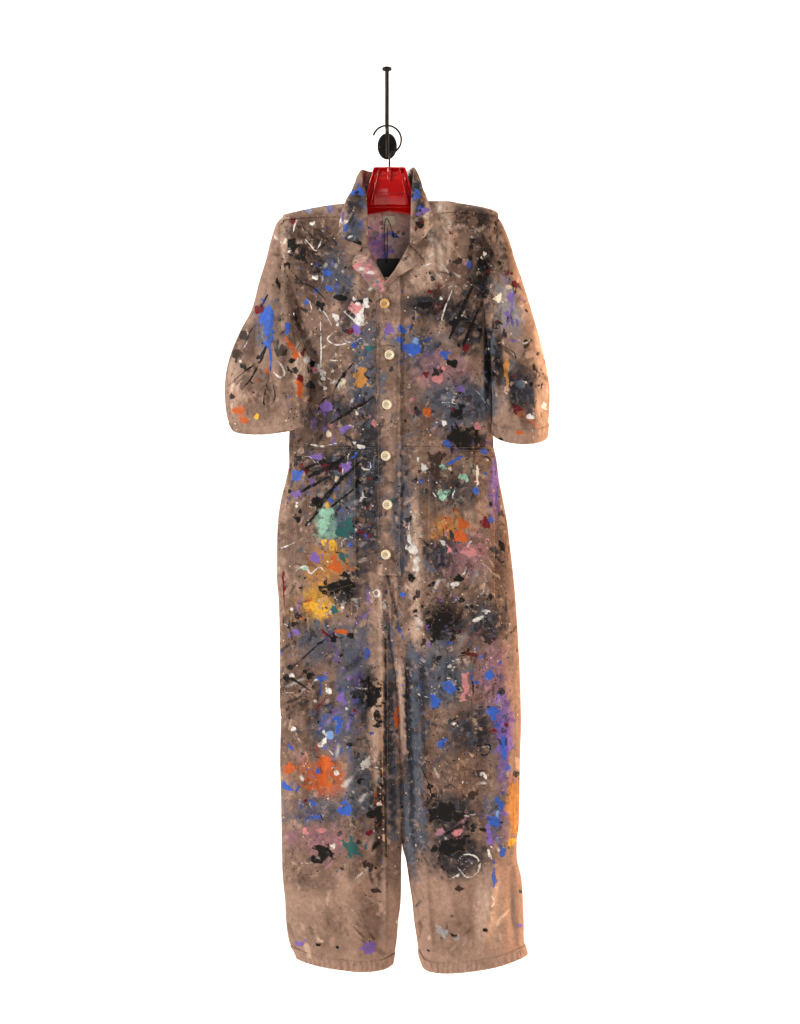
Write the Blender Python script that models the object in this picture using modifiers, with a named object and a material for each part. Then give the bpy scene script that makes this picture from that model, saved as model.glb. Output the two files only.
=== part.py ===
"""Paint-spattered button-front coverall on a plastic hanger, hung from a forged wall hook.

Metres, +Z up. The wall is the plane y = 0 and the front of the garment faces -Y. The origin is the
centre of the wall plate's back face. "Left" and "right" are the viewer's. Cloth pieces are plain
sheets that stand round real hollows: torso, hips, sleeves, legs and pockets.
"""

import math

import bmesh
import bpy
import numpy as np
from mathutils import Matrix, Vector

GAP = 0.0004
SEAM_GAP = 0.0012
CLOTH = 0.0024
SIDE_SEAM_DEPTH = 0.0034
HANG_Y = -0.072

# Wall hook
PLATE_HALF_WIDTH = 0.0183
PLATE_HALF_HEIGHT = 0.0249
PLATE_THICKNESS = 0.003
SCREW_OFFSET = 0.0121
SCREW_HEAD_RADIUS = 0.0036
SCREW_SHANK_RADIUS = 0.0018
ARM_RADIUS = 0.0037
CROOK_Z = 0.0219
PRONG_Y = -0.098
PRONG_TOP = 0.1227
CAP_RADIUS = 0.0092
CAP_THICKNESS = 0.009

# Hanger
WIRE_RADIUS = 0.00185
RING_RADIUS = 0.0263
HANGER_X = 0.0045
HANGER_TOP = -0.0494
HANGER_HALF_THICKNESS = 0.006
SOCKET_DEPTH = 0.021
SOCKET_RADIUS = 0.00196

# Garment levels, top to bottom
WAIST_Z = -0.566
PLACKET_TOP = -0.272
PLACKET_END = -0.8038
CROTCH_Z = -0.924
LEG_HINGE_GAP = 0.014
HEM_TOP = -1.508
HEM_BOTTOM = -1.531

# Garment centre front
PLACKET_LEFT = -0.0185
PLACKET_RIGHT = 0.0259
CENTRE_X = 0.0035

# Depth of the hung garment, before and behind the plane of the hanger
FRONT_DEPTH = ((-0.16, 0.038), (-0.45, 0.038), (-0.60, 0.032), (-0.75, 0.032), (-0.92, 0.024))
BACK_DEPTH = ((-0.16, 0.034), (-0.45, 0.034), (-0.60, 0.030), (-0.75, 0.032), (-0.92, 0.024))
LEG_DEPTH = ((-0.93, 0.022), (-1.10, 0.032), (-1.50, 0.040))
SHOULDER_DEPTH = 0.045
ARMHOLE_FULLNESS = 0.035

# Outlines seen from the front, as (z, x) down each side
LEFT_SIDE = (
    (-0.153, -0.1995), (-0.308, -0.1695), (-0.45, -0.178), (-0.62, -0.182), (-0.68, -0.197), (-0.75, -0.203),
    (-0.88, -0.199), (-1.02, -0.195), (-1.28, -0.192), (-1.43, -0.186), (-1.50, -0.174), (-1.531, -0.160),
)
RIGHT_SIDE = (
    (-0.146, 0.2045), (-0.308, 0.191), (-0.45, 0.196), (-0.576, 0.196), (-0.65, 0.210), (-0.73, 0.226),
    (-0.83, 0.235), (-0.92, 0.242), (-1.09, 0.251), (-1.21, 0.244), (-1.31, 0.239), (-1.37, 0.249),
    (-1.47, 0.253), (-1.531, 0.232),
)
LEFT_LEG_INSIDE = ((-0.93, 0.001), (-1.28, 0.028), (-1.40, 0.026), (-1.49, 0.017), (-1.531, 0.008))
RIGHT_LEG_INSIDE = ((-0.93, 0.0075), (-1.28, 0.032), (-1.37, 0.0425), (-1.46, 0.0537), (-1.531, 0.066))
SHOULDER_TOP = (
    (-0.2035, -0.152), (-0.19, -0.141), (-0.18, -0.134), (-0.078, -0.1156), (0.0925, -0.111), (0.135, -0.1156),
    (0.187, -0.126), (0.205, -0.137), (0.2146, -0.1452),
)
LEFT_NECK_EDGE = ((-0.272, -0.0189), (-0.24, -0.0189), (-0.20, -0.038), (-0.17, -0.047), (-0.13, -0.055))
RIGHT_NECK_EDGE = ((-0.272, 0.0263), (-0.24, 0.0263), (-0.21, 0.040), (-0.17, 0.055), (-0.13, 0.062))

# Sleeves: rungs from the outer to the inner outline, shoulder to hem, as
# (outer x, outer z, inner x, inner z, inner y shift, half depth)
SLEEVE_LEFT_RUNGS = (
    (-0.2035, -0.1526, -0.1745, -0.308, 0.000, 0.024),
    (-0.2130, -0.185, -0.1785, -0.319, 0.000, 0.025),
    (-0.2300, -0.255, -0.1810, -0.337, 0.000, 0.026),
    (-0.2500, -0.320, -0.1770, -0.356, -0.012, 0.025),
    (-0.2850, -0.384, -0.1600, -0.388, -0.031, 0.023),
    (-0.2965, -0.423, -0.1430, -0.418, -0.045, 0.021),
    (-0.2990, -0.484, -0.1410, -0.470, -0.045, 0.020),
    (-0.2930, -0.520, -0.1440, -0.506, -0.045, 0.020),
    (-0.2840, -0.542, -0.1480, -0.528, -0.045, 0.020),
)
SLEEVE_RIGHT_RUNGS = (
    (0.2085, -0.146, 0.1955, -0.308, 0.000, 0.024),
    (0.2260, -0.185, 0.1985, -0.319, 0.000, 0.027),
    (0.2445, -0.240, 0.2000, -0.333, 0.000, 0.031),
    (0.2620, -0.290, 0.2005, -0.350, 0.000, 0.036),
    (0.2790, -0.351, 0.2005, -0.385, 0.000, 0.041),
    (0.2955, -0.412, 0.2005, -0.430, 0.000, 0.044),
    (0.3020, -0.470, 0.2005, -0.480, 0.000, 0.045),
    (0.2990, -0.528, 0.2005, -0.530, 0.000, 0.045),
    (0.2930, -0.552, 0.2010, -0.552, 0.000, 0.045),
)
SLEEVE_HEM_RUNGS = 1

# Collar stations from the left front round the back to the right front: the folded top edge, the
# outer edge of the fall and the neck seam under the stand, each as (x, y before the hanger, z)
COLLAR_STATIONS = (
    ((-0.042, -0.044, -0.200), (-0.084, -0.050, -0.186), (-0.040, -0.030, -0.186)),
    ((-0.038, -0.043, -0.165), (-0.088, -0.049, -0.174), (-0.045, -0.028, -0.158)),
    ((-0.039, -0.037, -0.135), (-0.086, -0.043, -0.152), (-0.053, -0.024, -0.142)),
    ((-0.041, -0.026, -0.103), (-0.0775, -0.036, -0.124), (-0.059, -0.016, -0.122)),
    ((-0.045, -0.012, -0.075), (-0.069, -0.018, -0.104), (-0.057, -0.004, -0.099)),
    ((-0.048, 0.008, -0.056), (-0.064, 0.012, -0.099), (-0.050, 0.010, -0.104)),
    ((-0.032, 0.030, -0.056), (-0.044, 0.046, -0.104), (-0.031, 0.026, -0.103)),
    ((0.004, 0.037, -0.056), (0.004, 0.054, -0.106), (0.004, 0.031, -0.103)),
    ((0.038, 0.030, -0.054), (0.050, 0.046, -0.104), (0.037, 0.026, -0.103)),
    ((0.051, 0.008, -0.051), (0.063, 0.012, -0.096), (0.056, 0.010, -0.104)),
    ((0.049, -0.012, -0.075), (0.070, -0.018, -0.099), (0.060, -0.004, -0.099)),
    ((0.047, -0.026, -0.103), (0.0785, -0.036, -0.124), (0.065, -0.016, -0.122)),
    ((0.0465, -0.037, -0.135), (0.0845, -0.043, -0.148), (0.061, -0.024, -0.142)),
    ((0.046, -0.043, -0.165), (0.084, -0.049, -0.162), (0.055, -0.028, -0.158)),
    ((0.045, -0.044, -0.198), (0.056, -0.050, -0.196), (0.047, -0.030, -0.186)),
)
# Lapels: roll line and free edge, top to bottom, as (x, z)
LEFT_LAPEL = (
    ((-0.031, -0.206), (-0.021, -0.227), (-0.012, -0.246), (-0.003, -0.263)),
    ((-0.0435, -0.206), (-0.063, -0.232), (-0.038, -0.262), (-0.0125, -0.284)),
)
RIGHT_LAPEL = (
    ((0.036, -0.203), (0.027, -0.219), (0.017, -0.236), (0.0075, -0.252)),
    ((0.051, -0.212), (0.0627, -0.2283), (0.030, -0.244), (0.009, -0.264)),
)
LAPEL_STAND_OFF = 0.0035

BUTTON_RADIUS = 0.0092
BUTTON_THICKNESS = 0.0034
BUTTON_CENTRES = (
    (-0.0037, -0.305), (0.005, -0.399), (0.0005, -0.490), (-0.0018, -0.584), (0.001, -0.6735), (-0.0018, -0.765),
)

# Hip pockets: side x, inner x, opening top z, bottom z at the side and at the inner edge
POCKET_TOP = -0.585
POCKET_LEFT = (-0.168, -0.055, -0.858, -0.822)
POCKET_RIGHT = (0.195, 0.075, -0.866, -0.822)
POCKET_BULGE = 0.011

LOOP_CENTRE = (0.0035, -0.144)
TAG_LEFT = -0.018
TAG_RIGHT = 0.0237
TAG_TOP = -0.2155
TAG_HEIGHT = 0.072
TAG_THICKNESS = 0.0008
TAG_Y = HANG_Y + 0.024
STRING_RADIUS = 0.0007

COLOURS = {
    "forged_iron": ((0.012, 0.010, 0.010), 0.45, 0.6),
    "hanger_wire_black": ((0.010, 0.010, 0.010), 0.30, 0.4),
    "hanger_plastic": ((0.55, 0.003, 0.006), 0.12, 0.0),
    "cotton_canvas": ((0.42, 0.29, 0.21), 0.90, 0.0),
    "button_horn": ((0.72, 0.60, 0.42), 0.35, 0.0),
    "loop_tape": ((0.60, 0.56, 0.48), 0.85, 0.0),
    "tag_card": ((0.008, 0.008, 0.010), 0.50, 0.0),
    "string_cotton": ((0.006, 0.006, 0.007), 0.80, 0.0),
}


def clear_scene():
    for obj in list(bpy.data.objects):
        bpy.data.objects.remove(obj)


def make_material(name):
    colour, roughness, metallic = COLOURS[name]
    material = bpy.data.materials.new(name)
    material.use_nodes = True
    shader = material.node_tree.nodes["Principled BSDF"]
    shader.inputs["Base Color"].default_value = (*colour, 1.0)
    shader.inputs["Roughness"].default_value = roughness
    shader.inputs["Metallic"].default_value = metallic
    return material


def make_collection(name):
    collection = bpy.data.collections.new(name)
    bpy.context.scene.collection.children.link(collection)
    return collection


clear_scene()
PARTS = make_collection("hung_coverall")
CUTTERS = make_collection("cutters")
MATERIALS = {name: make_material(name) for name in COLOURS}


def add_object(name, data, material, collection=PARTS):
    obj = bpy.data.objects.new(name, data)
    if material:
        data.materials.append(MATERIALS[material])
    collection.objects.link(obj)
    return obj


def mesh_from(name, bm):
    bmesh.ops.recalc_face_normals(bm, faces=bm.faces)
    mesh = bpy.data.meshes.new(name)
    bm.to_mesh(mesh)
    bm.free()
    mesh.shade_smooth()
    mesh.set_sharp_from_angle(angle=math.radians(40))
    return mesh


def along(table, value):
    """The table's second number at this value of its first, on straight lines between its points."""
    positions, values = zip(*sorted(table))
    return float(np.interp(value, positions, values))


def mix(a, b, share):
    return a + (b - a) * share


def smooth_path(points, steps):
    """Points on a Catmull-Rom curve through these points, with this many steps between each two."""
    ends = [2 * points[0] - points[1], *points, 2 * points[-1] - points[-2]]
    path = []
    for before, start, end, after in zip(ends, ends[1:], ends[2:], ends[3:]):
        for step in range(steps):
            t = step / steps
            path.append(
                0.5 * (
                    2 * start
                    + (end - before) * t
                    + (2 * before - 5 * start + 4 * end - after) * t**2
                    + (3 * start - before - 3 * end + after) * t**3
                )
            )
    return [*path, points[-1].copy()]


def tube(name, points, radius, material, bevel_resolution):
    curve = bpy.data.curves.new(name, "CURVE")
    curve.dimensions = "3D"
    curve.bevel_depth = radius
    curve.bevel_resolution = bevel_resolution
    curve.use_fill_caps = True
    spline = curve.splines.new("POLY")
    spline.points.add(len(points) - 1)
    for target, point in zip(spline.points, points):
        target.co = (*point, 1.0)
    return add_object(name, curve, material)


def loft(rows, closed_across):
    """A grid of quads over rows of points, joined end to start across each row if closed."""
    bm = bmesh.new()
    grid = [[bm.verts.new(point) for point in row] for row in rows]
    for upper, lower in zip(grid, grid[1:]):
        count = len(upper)
        for i in range(count if closed_across else count - 1):
            j = (i + 1) % count
            bm.faces.new((upper[i], upper[j], lower[j], lower[i]))
    return bm


def sheet(name, rows, closed_across=False, thickness=CLOTH, outward=None):
    """A cloth piece: a lofted surface thickened inwards, away from the direction outward."""
    bm = loft(rows, closed_across)
    bmesh.ops.recalc_face_normals(bm, faces=bm.faces)
    bm.normal_update()
    if outward is not None:
        facing = sum(face.normal.dot(outward) * face.calc_area() for face in bm.faces)
        if facing < 0:
            bmesh.ops.reverse_faces(bm, faces=bm.faces)
    mesh = bpy.data.meshes.new(name)
    bm.to_mesh(mesh)
    bm.free()
    mesh.shade_smooth()
    obj = add_object(name, mesh, "cotton_canvas")
    solidify = obj.modifiers.new("Thickness", "SOLIDIFY")
    solidify.thickness = thickness
    solidify.offset = -1.0
    return obj


# Wall hook


def turned(name, profile, location, rotation, material, steps=24):
    """A profile of (radius, height) points turned about the object's own Z."""
    mesh = bpy.data.meshes.new(name)
    bm = bmesh.new()
    points = [bm.verts.new((radius, 0.0, height)) for radius, height in profile]
    for start, end in zip(points, points[1:]):
        bm.edges.new((start, end))
    bm.to_mesh(mesh)
    bm.free()
    obj = add_object(name, mesh, material)
    obj.location = location
    obj.rotation_euler = rotation
    screw = obj.modifiers.new("Turn", "SCREW")
    screw.steps = steps
    screw.render_steps = steps
    screw.use_merge_vertices = True
    screw.merge_threshold = 0.00005
    screw.use_smooth_shade = True
    return obj


def cutter_cylinder(name, radius, depth, location, rotation):
    bm = bmesh.new()
    bmesh.ops.create_cone(bm, cap_ends=True, segments=24, radius1=radius, radius2=radius, depth=depth)
    obj = add_object(name, mesh_from(name, bm), None, CUTTERS)
    obj.location = location
    obj.rotation_euler = rotation
    obj.hide_render = True
    obj.display_type = "WIRE"
    return obj


def cut(obj, cutter):
    boolean = obj.modifiers.new(cutter.name, "BOOLEAN")
    boolean.operation = "DIFFERENCE"
    boolean.object = cutter


FACING_FRONT = (math.pi / 2, 0.0, 0.0)


def make_wall_plate():
    bm = bmesh.new()
    bmesh.ops.create_cone(
        bm, cap_ends=True, segments=40, radius1=1.0, radius2=1.0, depth=PLATE_THICKNESS,
        matrix=Matrix.Rotation(math.pi / 2, 4, "X"),
    )
    bmesh.ops.scale(bm, vec=(PLATE_HALF_WIDTH, 1.0, PLATE_HALF_HEIGHT), verts=bm.verts)
    bmesh.ops.translate(bm, vec=(0.0, -PLATE_THICKNESS / 2, 0.0), verts=bm.verts)
    front_rim = [
        edge for edge in bm.edges if all(vert.co.y < -PLATE_THICKNESS * 0.9 for vert in edge.verts)
    ]
    bmesh.ops.bevel(bm, geom=front_rim, offset=0.0012, segments=2, affect="EDGES")
    plate = add_object("wall_plate", mesh_from("wall_plate", bm), "forged_iron")
    for side, name in ((-1, "left"), (1, "right")):
        where = (side * SCREW_OFFSET, -PLATE_THICKNESS / 2, -0.0022)
        cut(plate, cutter_cylinder(f"screw_hole_{name}", SCREW_SHANK_RADIUS + GAP, 0.01, where, FACING_FRONT))


def make_screws():
    head_base = PLATE_THICKNESS + GAP
    profile = (
        (0.0, head_base + 0.0019),
        (SCREW_HEAD_RADIUS * 0.55, head_base + 0.0016),
        (SCREW_HEAD_RADIUS * 0.90, head_base + 0.0008),
        (SCREW_HEAD_RADIUS, head_base),
        (SCREW_SHANK_RADIUS, head_base),
        (SCREW_SHANK_RADIUS, GAP),
        (0.0, GAP),
    )
    for side, name in ((-1, "left"), (1, "right")):
        where = (side * SCREW_OFFSET, 0.0, -0.0022)
        turned(f"plate_screw_{name}", profile, where, FACING_FRONT, "forged_iron", steps=20)


def make_arm():
    on_plate = -PLATE_THICKNESS - ARM_RADIUS - GAP
    route = [
        Vector((0.0, y, z))
        for y, z in (
            (on_plate, -0.0205), (on_plate, -0.004), (on_plate - 0.0005, 0.012), (-0.0155, 0.0262),
            (-0.034, 0.0292), (-0.054, 0.0243), (HANG_Y, CROOK_Z), (-0.0875, 0.0262), (-0.0963, 0.041),
            (PRONG_Y, 0.062), (PRONG_Y, 0.092), (PRONG_Y, PRONG_TOP),
        )
    ]
    tube("hook_arm", smooth_path(route, 3), ARM_RADIUS, "forged_iron", 3)


def make_cap():
    half = CAP_THICKNESS / 2
    edge = CAP_RADIUS
    profile = (
        (0.0, half), (edge * 0.55, half * 0.95), (edge * 0.9, half * 0.6), (edge, 0.0),
        (edge * 0.9, -half * 0.6), (edge * 0.55, -half * 0.95), (0.0, -half),
    )
    centre = (0.0, PRONG_Y, PRONG_TOP + GAP + half)
    turned("hook_cap", profile, centre, (0.0, 0.0, 0.0), "forged_iron")


# Hanger


def make_hanger_wire():
    top = CROOK_Z + ARM_RADIUS + GAP + WIRE_RADIUS
    centre = Vector((0.0, HANG_Y, top - RING_RADIUS))
    tip_angle = math.radians(163)
    end_angle = math.radians(-66)
    turns = 22
    ring = []
    for step in range(turns + 1):
        angle = mix(tip_angle, end_angle, step / turns)
        ring.append(centre + RING_RADIUS * Vector((math.cos(angle), 0.0, math.sin(angle))))
    stem = [
        Vector((HANGER_X + 0.0008, HANG_Y, -0.0268)),
        Vector((HANGER_X, HANG_Y, -0.0310)),
        Vector((HANGER_X, HANG_Y, -0.0400)),
        Vector((HANGER_X, HANG_Y, HANGER_TOP - SOCKET_DEPTH + GAP)),
    ]
    tube("hanger_hook", ring + stem, WIRE_RADIUS, "hanger_wire_black", 3)


def hanger_outline():
    """Right half of the hanger's outline from the top middle to the bottom middle, as (x, z)."""
    return (
        (0.0, HANGER_TOP), (0.0265, HANGER_TOP), (0.0300, -0.0525), (0.0340, -0.066), (0.0385, -0.082),
        (0.046, -0.104), (0.062, -0.1165), (0.085, -0.1235), (0.135, -0.131), (0.174, -0.1405), (0.185, -0.1475),
        (0.186, -0.155), (0.178, -0.160), (0.135, -0.153), (0.085, -0.147), (0.045, -0.139), (0.0, -0.1317),
    )


def make_hanger_body():
    half = hanger_outline()
    outline = [(x, z) for x, z in half] + [(-x, z) for x, z in half[-2:0:-1]]
    bm = bmesh.new()
    front = [bm.verts.new((HANGER_X + x, HANG_Y - HANGER_HALF_THICKNESS, z)) for x, z in outline]
    face = bm.faces.new(front)
    extruded = bmesh.ops.extrude_face_region(bm, geom=[face])
    back = [item for item in extruded["geom"] if isinstance(item, bmesh.types.BMVert)]
    bmesh.ops.translate(bm, vec=(0.0, 2 * HANGER_HALF_THICKNESS, 0.0), verts=back)
    body = add_object("hanger_body", mesh_from("hanger_body", bm), "hanger_plastic")
    bevel = body.modifiers.new("Round edges", "BEVEL")
    bevel.width = 0.0018
    bevel.segments = 2
    bevel.limit_method = "ANGLE"
    bevel.angle_limit = math.radians(50)
    depth = SOCKET_DEPTH * 2
    cut(body, cutter_cylinder("wire_socket", SOCKET_RADIUS, depth, (HANGER_X, HANG_Y, HANGER_TOP), (0, 0, 0)))


# Garment surface


def body_depth(x, z, face):
    """How far the torso and hips stand before (face -1) or behind (face 1) the hanger's plane."""
    table = FRONT_DEPTH if face < 0 else BACK_DEPTH
    fullness = ARMHOLE_FULLNESS * min(1.0, max(0.0, (z + 0.308) / 0.08))
    left = along(LEFT_SIDE, z) - fullness
    right = along(RIGHT_SIDE, z) + fullness
    across = (2 * x - left - right) / (right - left)
    top = along(SHOULDER_TOP, x)
    rise = min(1.0, max(0.0, (z - top + SHOULDER_DEPTH) / SHOULDER_DEPTH))
    return along(table, z) * math.sqrt(max(0.0, 1 - across**2)) * math.sqrt(1 - rise**2)


def body_point(x, z, face, stand_off=0.0):
    return Vector((x, HANG_Y + face * (max(body_depth(x, z, face), SIDE_SEAM_DEPTH) + stand_off), z))


def front_seam(x):
    """Height of the seam between a front and the yoke, which runs before the top of the shoulder."""
    return along(SHOULDER_TOP, x) - 0.040 + 0.16 * abs(x)


def back_seam(x):
    """Height of the yoke's back seam."""
    return along(SHOULDER_TOP, x) - 0.052


def panel(name, outer, inner, bottom, seam, face, rows, columns):
    """A body panel between two side outlines, from the height bottom up to a yoke seam."""
    grid = []
    for row in range(rows + 1):
        points = []
        for column in range(columns + 1):
            z = WAIST_Z
            for _ in range(4):
                x = mix(outer(z), inner(z), column / columns)
                z = mix(bottom, seam(x) - SEAM_GAP / 2, row / rows)
            points.append(body_point(x, z, face))
        grid.append(points)
    return sheet(name, grid, outward=Vector((0, face, 0)))


def left_edge(z):
    return along(LEFT_SIDE, z) + GAP


def right_edge(z):
    return along(RIGHT_SIDE, z) - GAP


def left_front_edge(z):
    return along(LEFT_NECK_EDGE, z) if z > PLACKET_TOP else PLACKET_LEFT - GAP


def right_front_edge(z):
    return along(RIGHT_NECK_EDGE, z) if z > PLACKET_TOP else PLACKET_RIGHT + GAP


def make_fronts():
    panel("front_left", left_edge, left_front_edge, WAIST_Z + GAP, front_seam, -1, 14, 6)
    panel("front_right", right_edge, right_front_edge, WAIST_Z + GAP, front_seam, -1, 14, 6)


def make_back():
    panel("back_panel", left_edge, right_edge, WAIST_Z + GAP, back_seam, 1, 10, 12)


def seam_place(seam, neck_x, armhole, share):
    """The (x, z) on a yoke seam at this share of the way from the neck to the armhole."""
    x = neck_x
    for _ in range(4):
        x = mix(neck_x, armhole(seam(x)), share)
    return x, seam(x) + SEAM_GAP / 2


def make_yoke_shoulder(name, neck_x, armhole):
    """The yoke over one shoulder, an arch from the front seam over the top to the back seam."""
    grid = []
    for column in range(7):
        share = column / 6
        front_x, front_z = seam_place(front_seam, neck_x, armhole, share)
        back_x, back_z = seam_place(back_seam, neck_x, armhole, share)
        points = [body_point(front_x, front_z, -1)]
        top = along(SHOULDER_TOP, front_x)
        start = math.asin((front_z - top) / SHOULDER_DEPTH + 1)
        for step in range(1, 7):
            angle = mix(start, math.pi, step / 7)
            face = -1 if angle < math.pi / 2 else 1
            z = top + SHOULDER_DEPTH * (math.sin(angle) - 1)
            points.append(body_point(mix(neck_x, armhole(z), share), z, face))
        points.append(body_point(back_x, back_z, 1))
        grid.append(points)
    sheet(name, grid, outward=Vector((0, 0, 1)))


def make_yoke():
    make_yoke_shoulder("yoke_left_shoulder", -0.078, left_edge)
    make_yoke_shoulder("yoke_right_shoulder", 0.080, right_edge)
    grid = []
    for row in range(4):
        points = []
        for column in range(9):
            x = mix(-0.078 + GAP, 0.080 - GAP, column / 8)
            z = mix(back_seam(x) + SEAM_GAP / 2, -0.117, row / 3)
            behind = along(((-0.17, 0.034), (-0.117, 0.030)), z)
            bow = 1 - 0.28 * ((x - 0.001) / 0.079) ** 2
            points.append(Vector((x, HANG_Y + behind * bow, z)))
        grid.append(points)
    sheet("yoke_back", grid, outward=Vector((0, 1, 0)))


def make_placket():
    grid = []
    for row in range(19):
        z = mix(PLACKET_TOP - GAP, PLACKET_END, row / 18)
        grid.append([body_point(mix(PLACKET_LEFT, PLACKET_RIGHT, i / 3), z, -1, 0.0008) for i in range(4)])
    sheet("button_placket", grid, outward=Vector((0, -1, 0)), thickness=0.003)


def make_lapel(name, lines):
    roll, free = lines
    grid = []
    for (roll_x, roll_z), (free_x, free_z) in zip(roll, free):
        points = []
        for column in range(4):
            share = column / 3
            x = mix(roll_x, free_x, share)
            z = mix(roll_z, free_z, share)
            points.append(body_point(x, z, -1, CLOTH + LAPEL_STAND_OFF))
        grid.append(points)
    sheet(name, grid, outward=Vector((0, -1, 0)))


def make_collar():
    """The fall leans outwards from the folded top edge, and the stand drops inside it to the neck seam."""
    fall = []
    stand = []
    for fold, outer, seam in COLLAR_STATIONS:
        shift = Vector((0.0, HANG_Y, 0.0))
        fold = Vector(fold) + shift
        outer = Vector(outer) + shift
        seam = Vector(seam) + shift
        inward = Vector((-math.copysign(0.0042, fold.x), 0.0, -0.001))
        if fold.y > HANG_Y + 0.02:
            inward = Vector((0.0, -0.0042, -0.001))
        fall.append([mix(fold, outer, step / 3) for step in range(4)])
        stand.append([mix(fold + inward, seam + inward, step / 2) for step in range(3)])
    sheet("collar_fall", fall, outward=Vector((0, 0, 1)))
    sheet("collar_stand", stand, outward=Vector((0, 0, 1)), thickness=0.0016)


def make_buttons():
    profile = (
        (0.0, 0.0016), (0.0055, 0.0016), (0.0066, 0.0027), (0.0082, BUTTON_THICKNESS),
        (BUTTON_RADIUS, 0.0022), (BUTTON_RADIUS, 0.0008), (0.0078, 0.0), (0.0, 0.0),
    )
    for number, (x, z) in enumerate(BUTTON_CENTRES, 1):
        seat = body_point(x, z, -1, 0.0008 + 0.0008)
        turned(f"button_{number}", profile, seat, FACING_FRONT, "button_horn", steps=20)


# Hips, pockets and legs


def centre_left(z):
    return CENTRE_X - GAP


def centre_right(z):
    return CENTRE_X + GAP


def make_hips():
    top = WAIST_Z - GAP
    bottom = CROTCH_Z + LEG_HINGE_GAP

    def left_inner(z):
        return PLACKET_LEFT - GAP if z > PLACKET_END - 0.002 else centre_left(z)

    def right_inner(z):
        return PLACKET_RIGHT + GAP if z > PLACKET_END - 0.002 else centre_right(z)

    hip_panel("hip_front_left", left_edge, left_inner, bottom, top, -1)
    hip_panel("hip_front_right", right_edge, right_inner, bottom, top, -1)
    hip_panel("hip_back_left", left_edge, centre_left, bottom, top, 1)
    hip_panel("hip_back_right", right_edge, centre_right, bottom, top, 1)


def hip_panel(name, outer, inner, bottom, top, face):
    """A hip panel, with a row of points on each side of the placket's end."""
    levels = [bottom, -0.86, PLACKET_END - 0.005, PLACKET_END - 0.001, -0.76, -0.70, -0.64, -0.60, top]
    grid = []
    for z in levels:
        grid.append([body_point(mix(outer(z), inner(z), i / 6), z, face) for i in range(7)])
    sheet(name, grid, outward=Vector((0, face, 0)))


def make_pocket(name, shape):
    """A patch pocket on a hip front: stitched down on three sides, standing off at its side opening."""
    side_x, inner_x, side_bottom, inner_bottom = shape
    grid = []
    for row in range(6):
        down = row / 5
        points = []
        for column in range(6):
            across = column / 5
            x = mix(side_x, inner_x, across)
            z = mix(POCKET_TOP, mix(side_bottom, inner_bottom, across), down)
            open_share = math.cos(across * math.pi / 2) * math.sin(down * math.pi) ** 0.5
            points.append(body_point(x, z, -1, CLOTH + 0.0008 + POCKET_BULGE * open_share))
        grid.append(points)
    sheet(name, grid, outward=Vector((0, -1, 0)), thickness=0.002)


def leg_point(x, z, left, right, face):
    across = (2 * x - left - right) / (right - left)
    depth = along(LEG_DEPTH, z) * math.sqrt(max(0.0, 1 - across**2))
    return Vector((x, HANG_Y + face * max(depth, SIDE_SEAM_DEPTH), z))


def make_leg(side, outer, inner):
    for face, name in ((-1, "front"), (1, "back")):
        grid = []
        for row in range(10):
            z = mix(CROTCH_Z, HEM_TOP + GAP, row / 9)
            left = along(outer, z)
            right = along(inner, z)
            points = []
            for column in range(8):
                angle = math.pi * column / 7
                x = (left + right) / 2 + (left - right) / 2 * math.cos(angle)
                points.append(leg_point(x, z, left, right, face))
            grid.append(points)
        sheet(f"leg_{name}_{side}", grid, outward=Vector((0, face, 0)))
    ring = []
    for level in (HEM_TOP - GAP, HEM_BOTTOM):
        left = along(outer, level)
        right = along(inner, level)
        points = []
        for step in range(20):
            angle = 2 * math.pi * step / 20
            x = (left + right) / 2 + (left - right) / 2 * math.cos(angle)
            y = HANG_Y - along(LEG_DEPTH, level) * math.sin(angle)
            points.append(Vector((x, y, level)))
        ring.append(points)
    sheet(f"leg_hem_{side}", ring, closed_across=True, outward=None)


# Sleeves


def sleeve_ring(rung):
    outer_x, outer_z, inner_x, inner_z, inner_y, half_depth = rung
    outer = Vector((outer_x, HANG_Y, outer_z))
    inner = Vector((inner_x, HANG_Y + inner_y, inner_z))
    centre = (outer + inner) / 2
    ring = []
    for step in range(16):
        angle = 2 * math.pi * step / 16
        depth = Vector((0.0, -half_depth * math.sin(angle), 0.0))
        ring.append(centre + (outer - inner) / 2 * math.cos(angle) + depth)
    return ring


def make_sleeve(side, rungs):
    rings = [sleeve_ring(rung) for rung in rungs]
    body = rings[: len(rings) - SLEEVE_HEM_RUNGS]
    hem_start = [mix(upper, lower, 0.03) for upper, lower in zip(rings[-2], rings[-1])]
    sheet(f"sleeve_{side}", body, closed_across=True)
    sheet(f"sleeve_hem_{side}", [hem_start, rings[-1]], closed_across=True)


# Neck loop, string and tag


def make_neck_loop():
    """A short tape loop sewn inside the back neck."""
    x, z = LOOP_CENTRE
    y = HANG_Y + 0.0265
    bm = bmesh.new()
    bmesh.ops.create_cube(bm, size=1.0)
    bmesh.ops.scale(bm, vec=(0.022, 0.0016, 0.017), verts=bm.verts)
    bmesh.ops.translate(bm, vec=(x, y, z), verts=bm.verts)
    loop = add_object("neck_loop", mesh_from("neck_loop", bm), "loop_tape")
    bevel = loop.modifiers.new("Round edges", "BEVEL")
    bevel.width = 0.0005
    bevel.segments = 1


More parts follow.
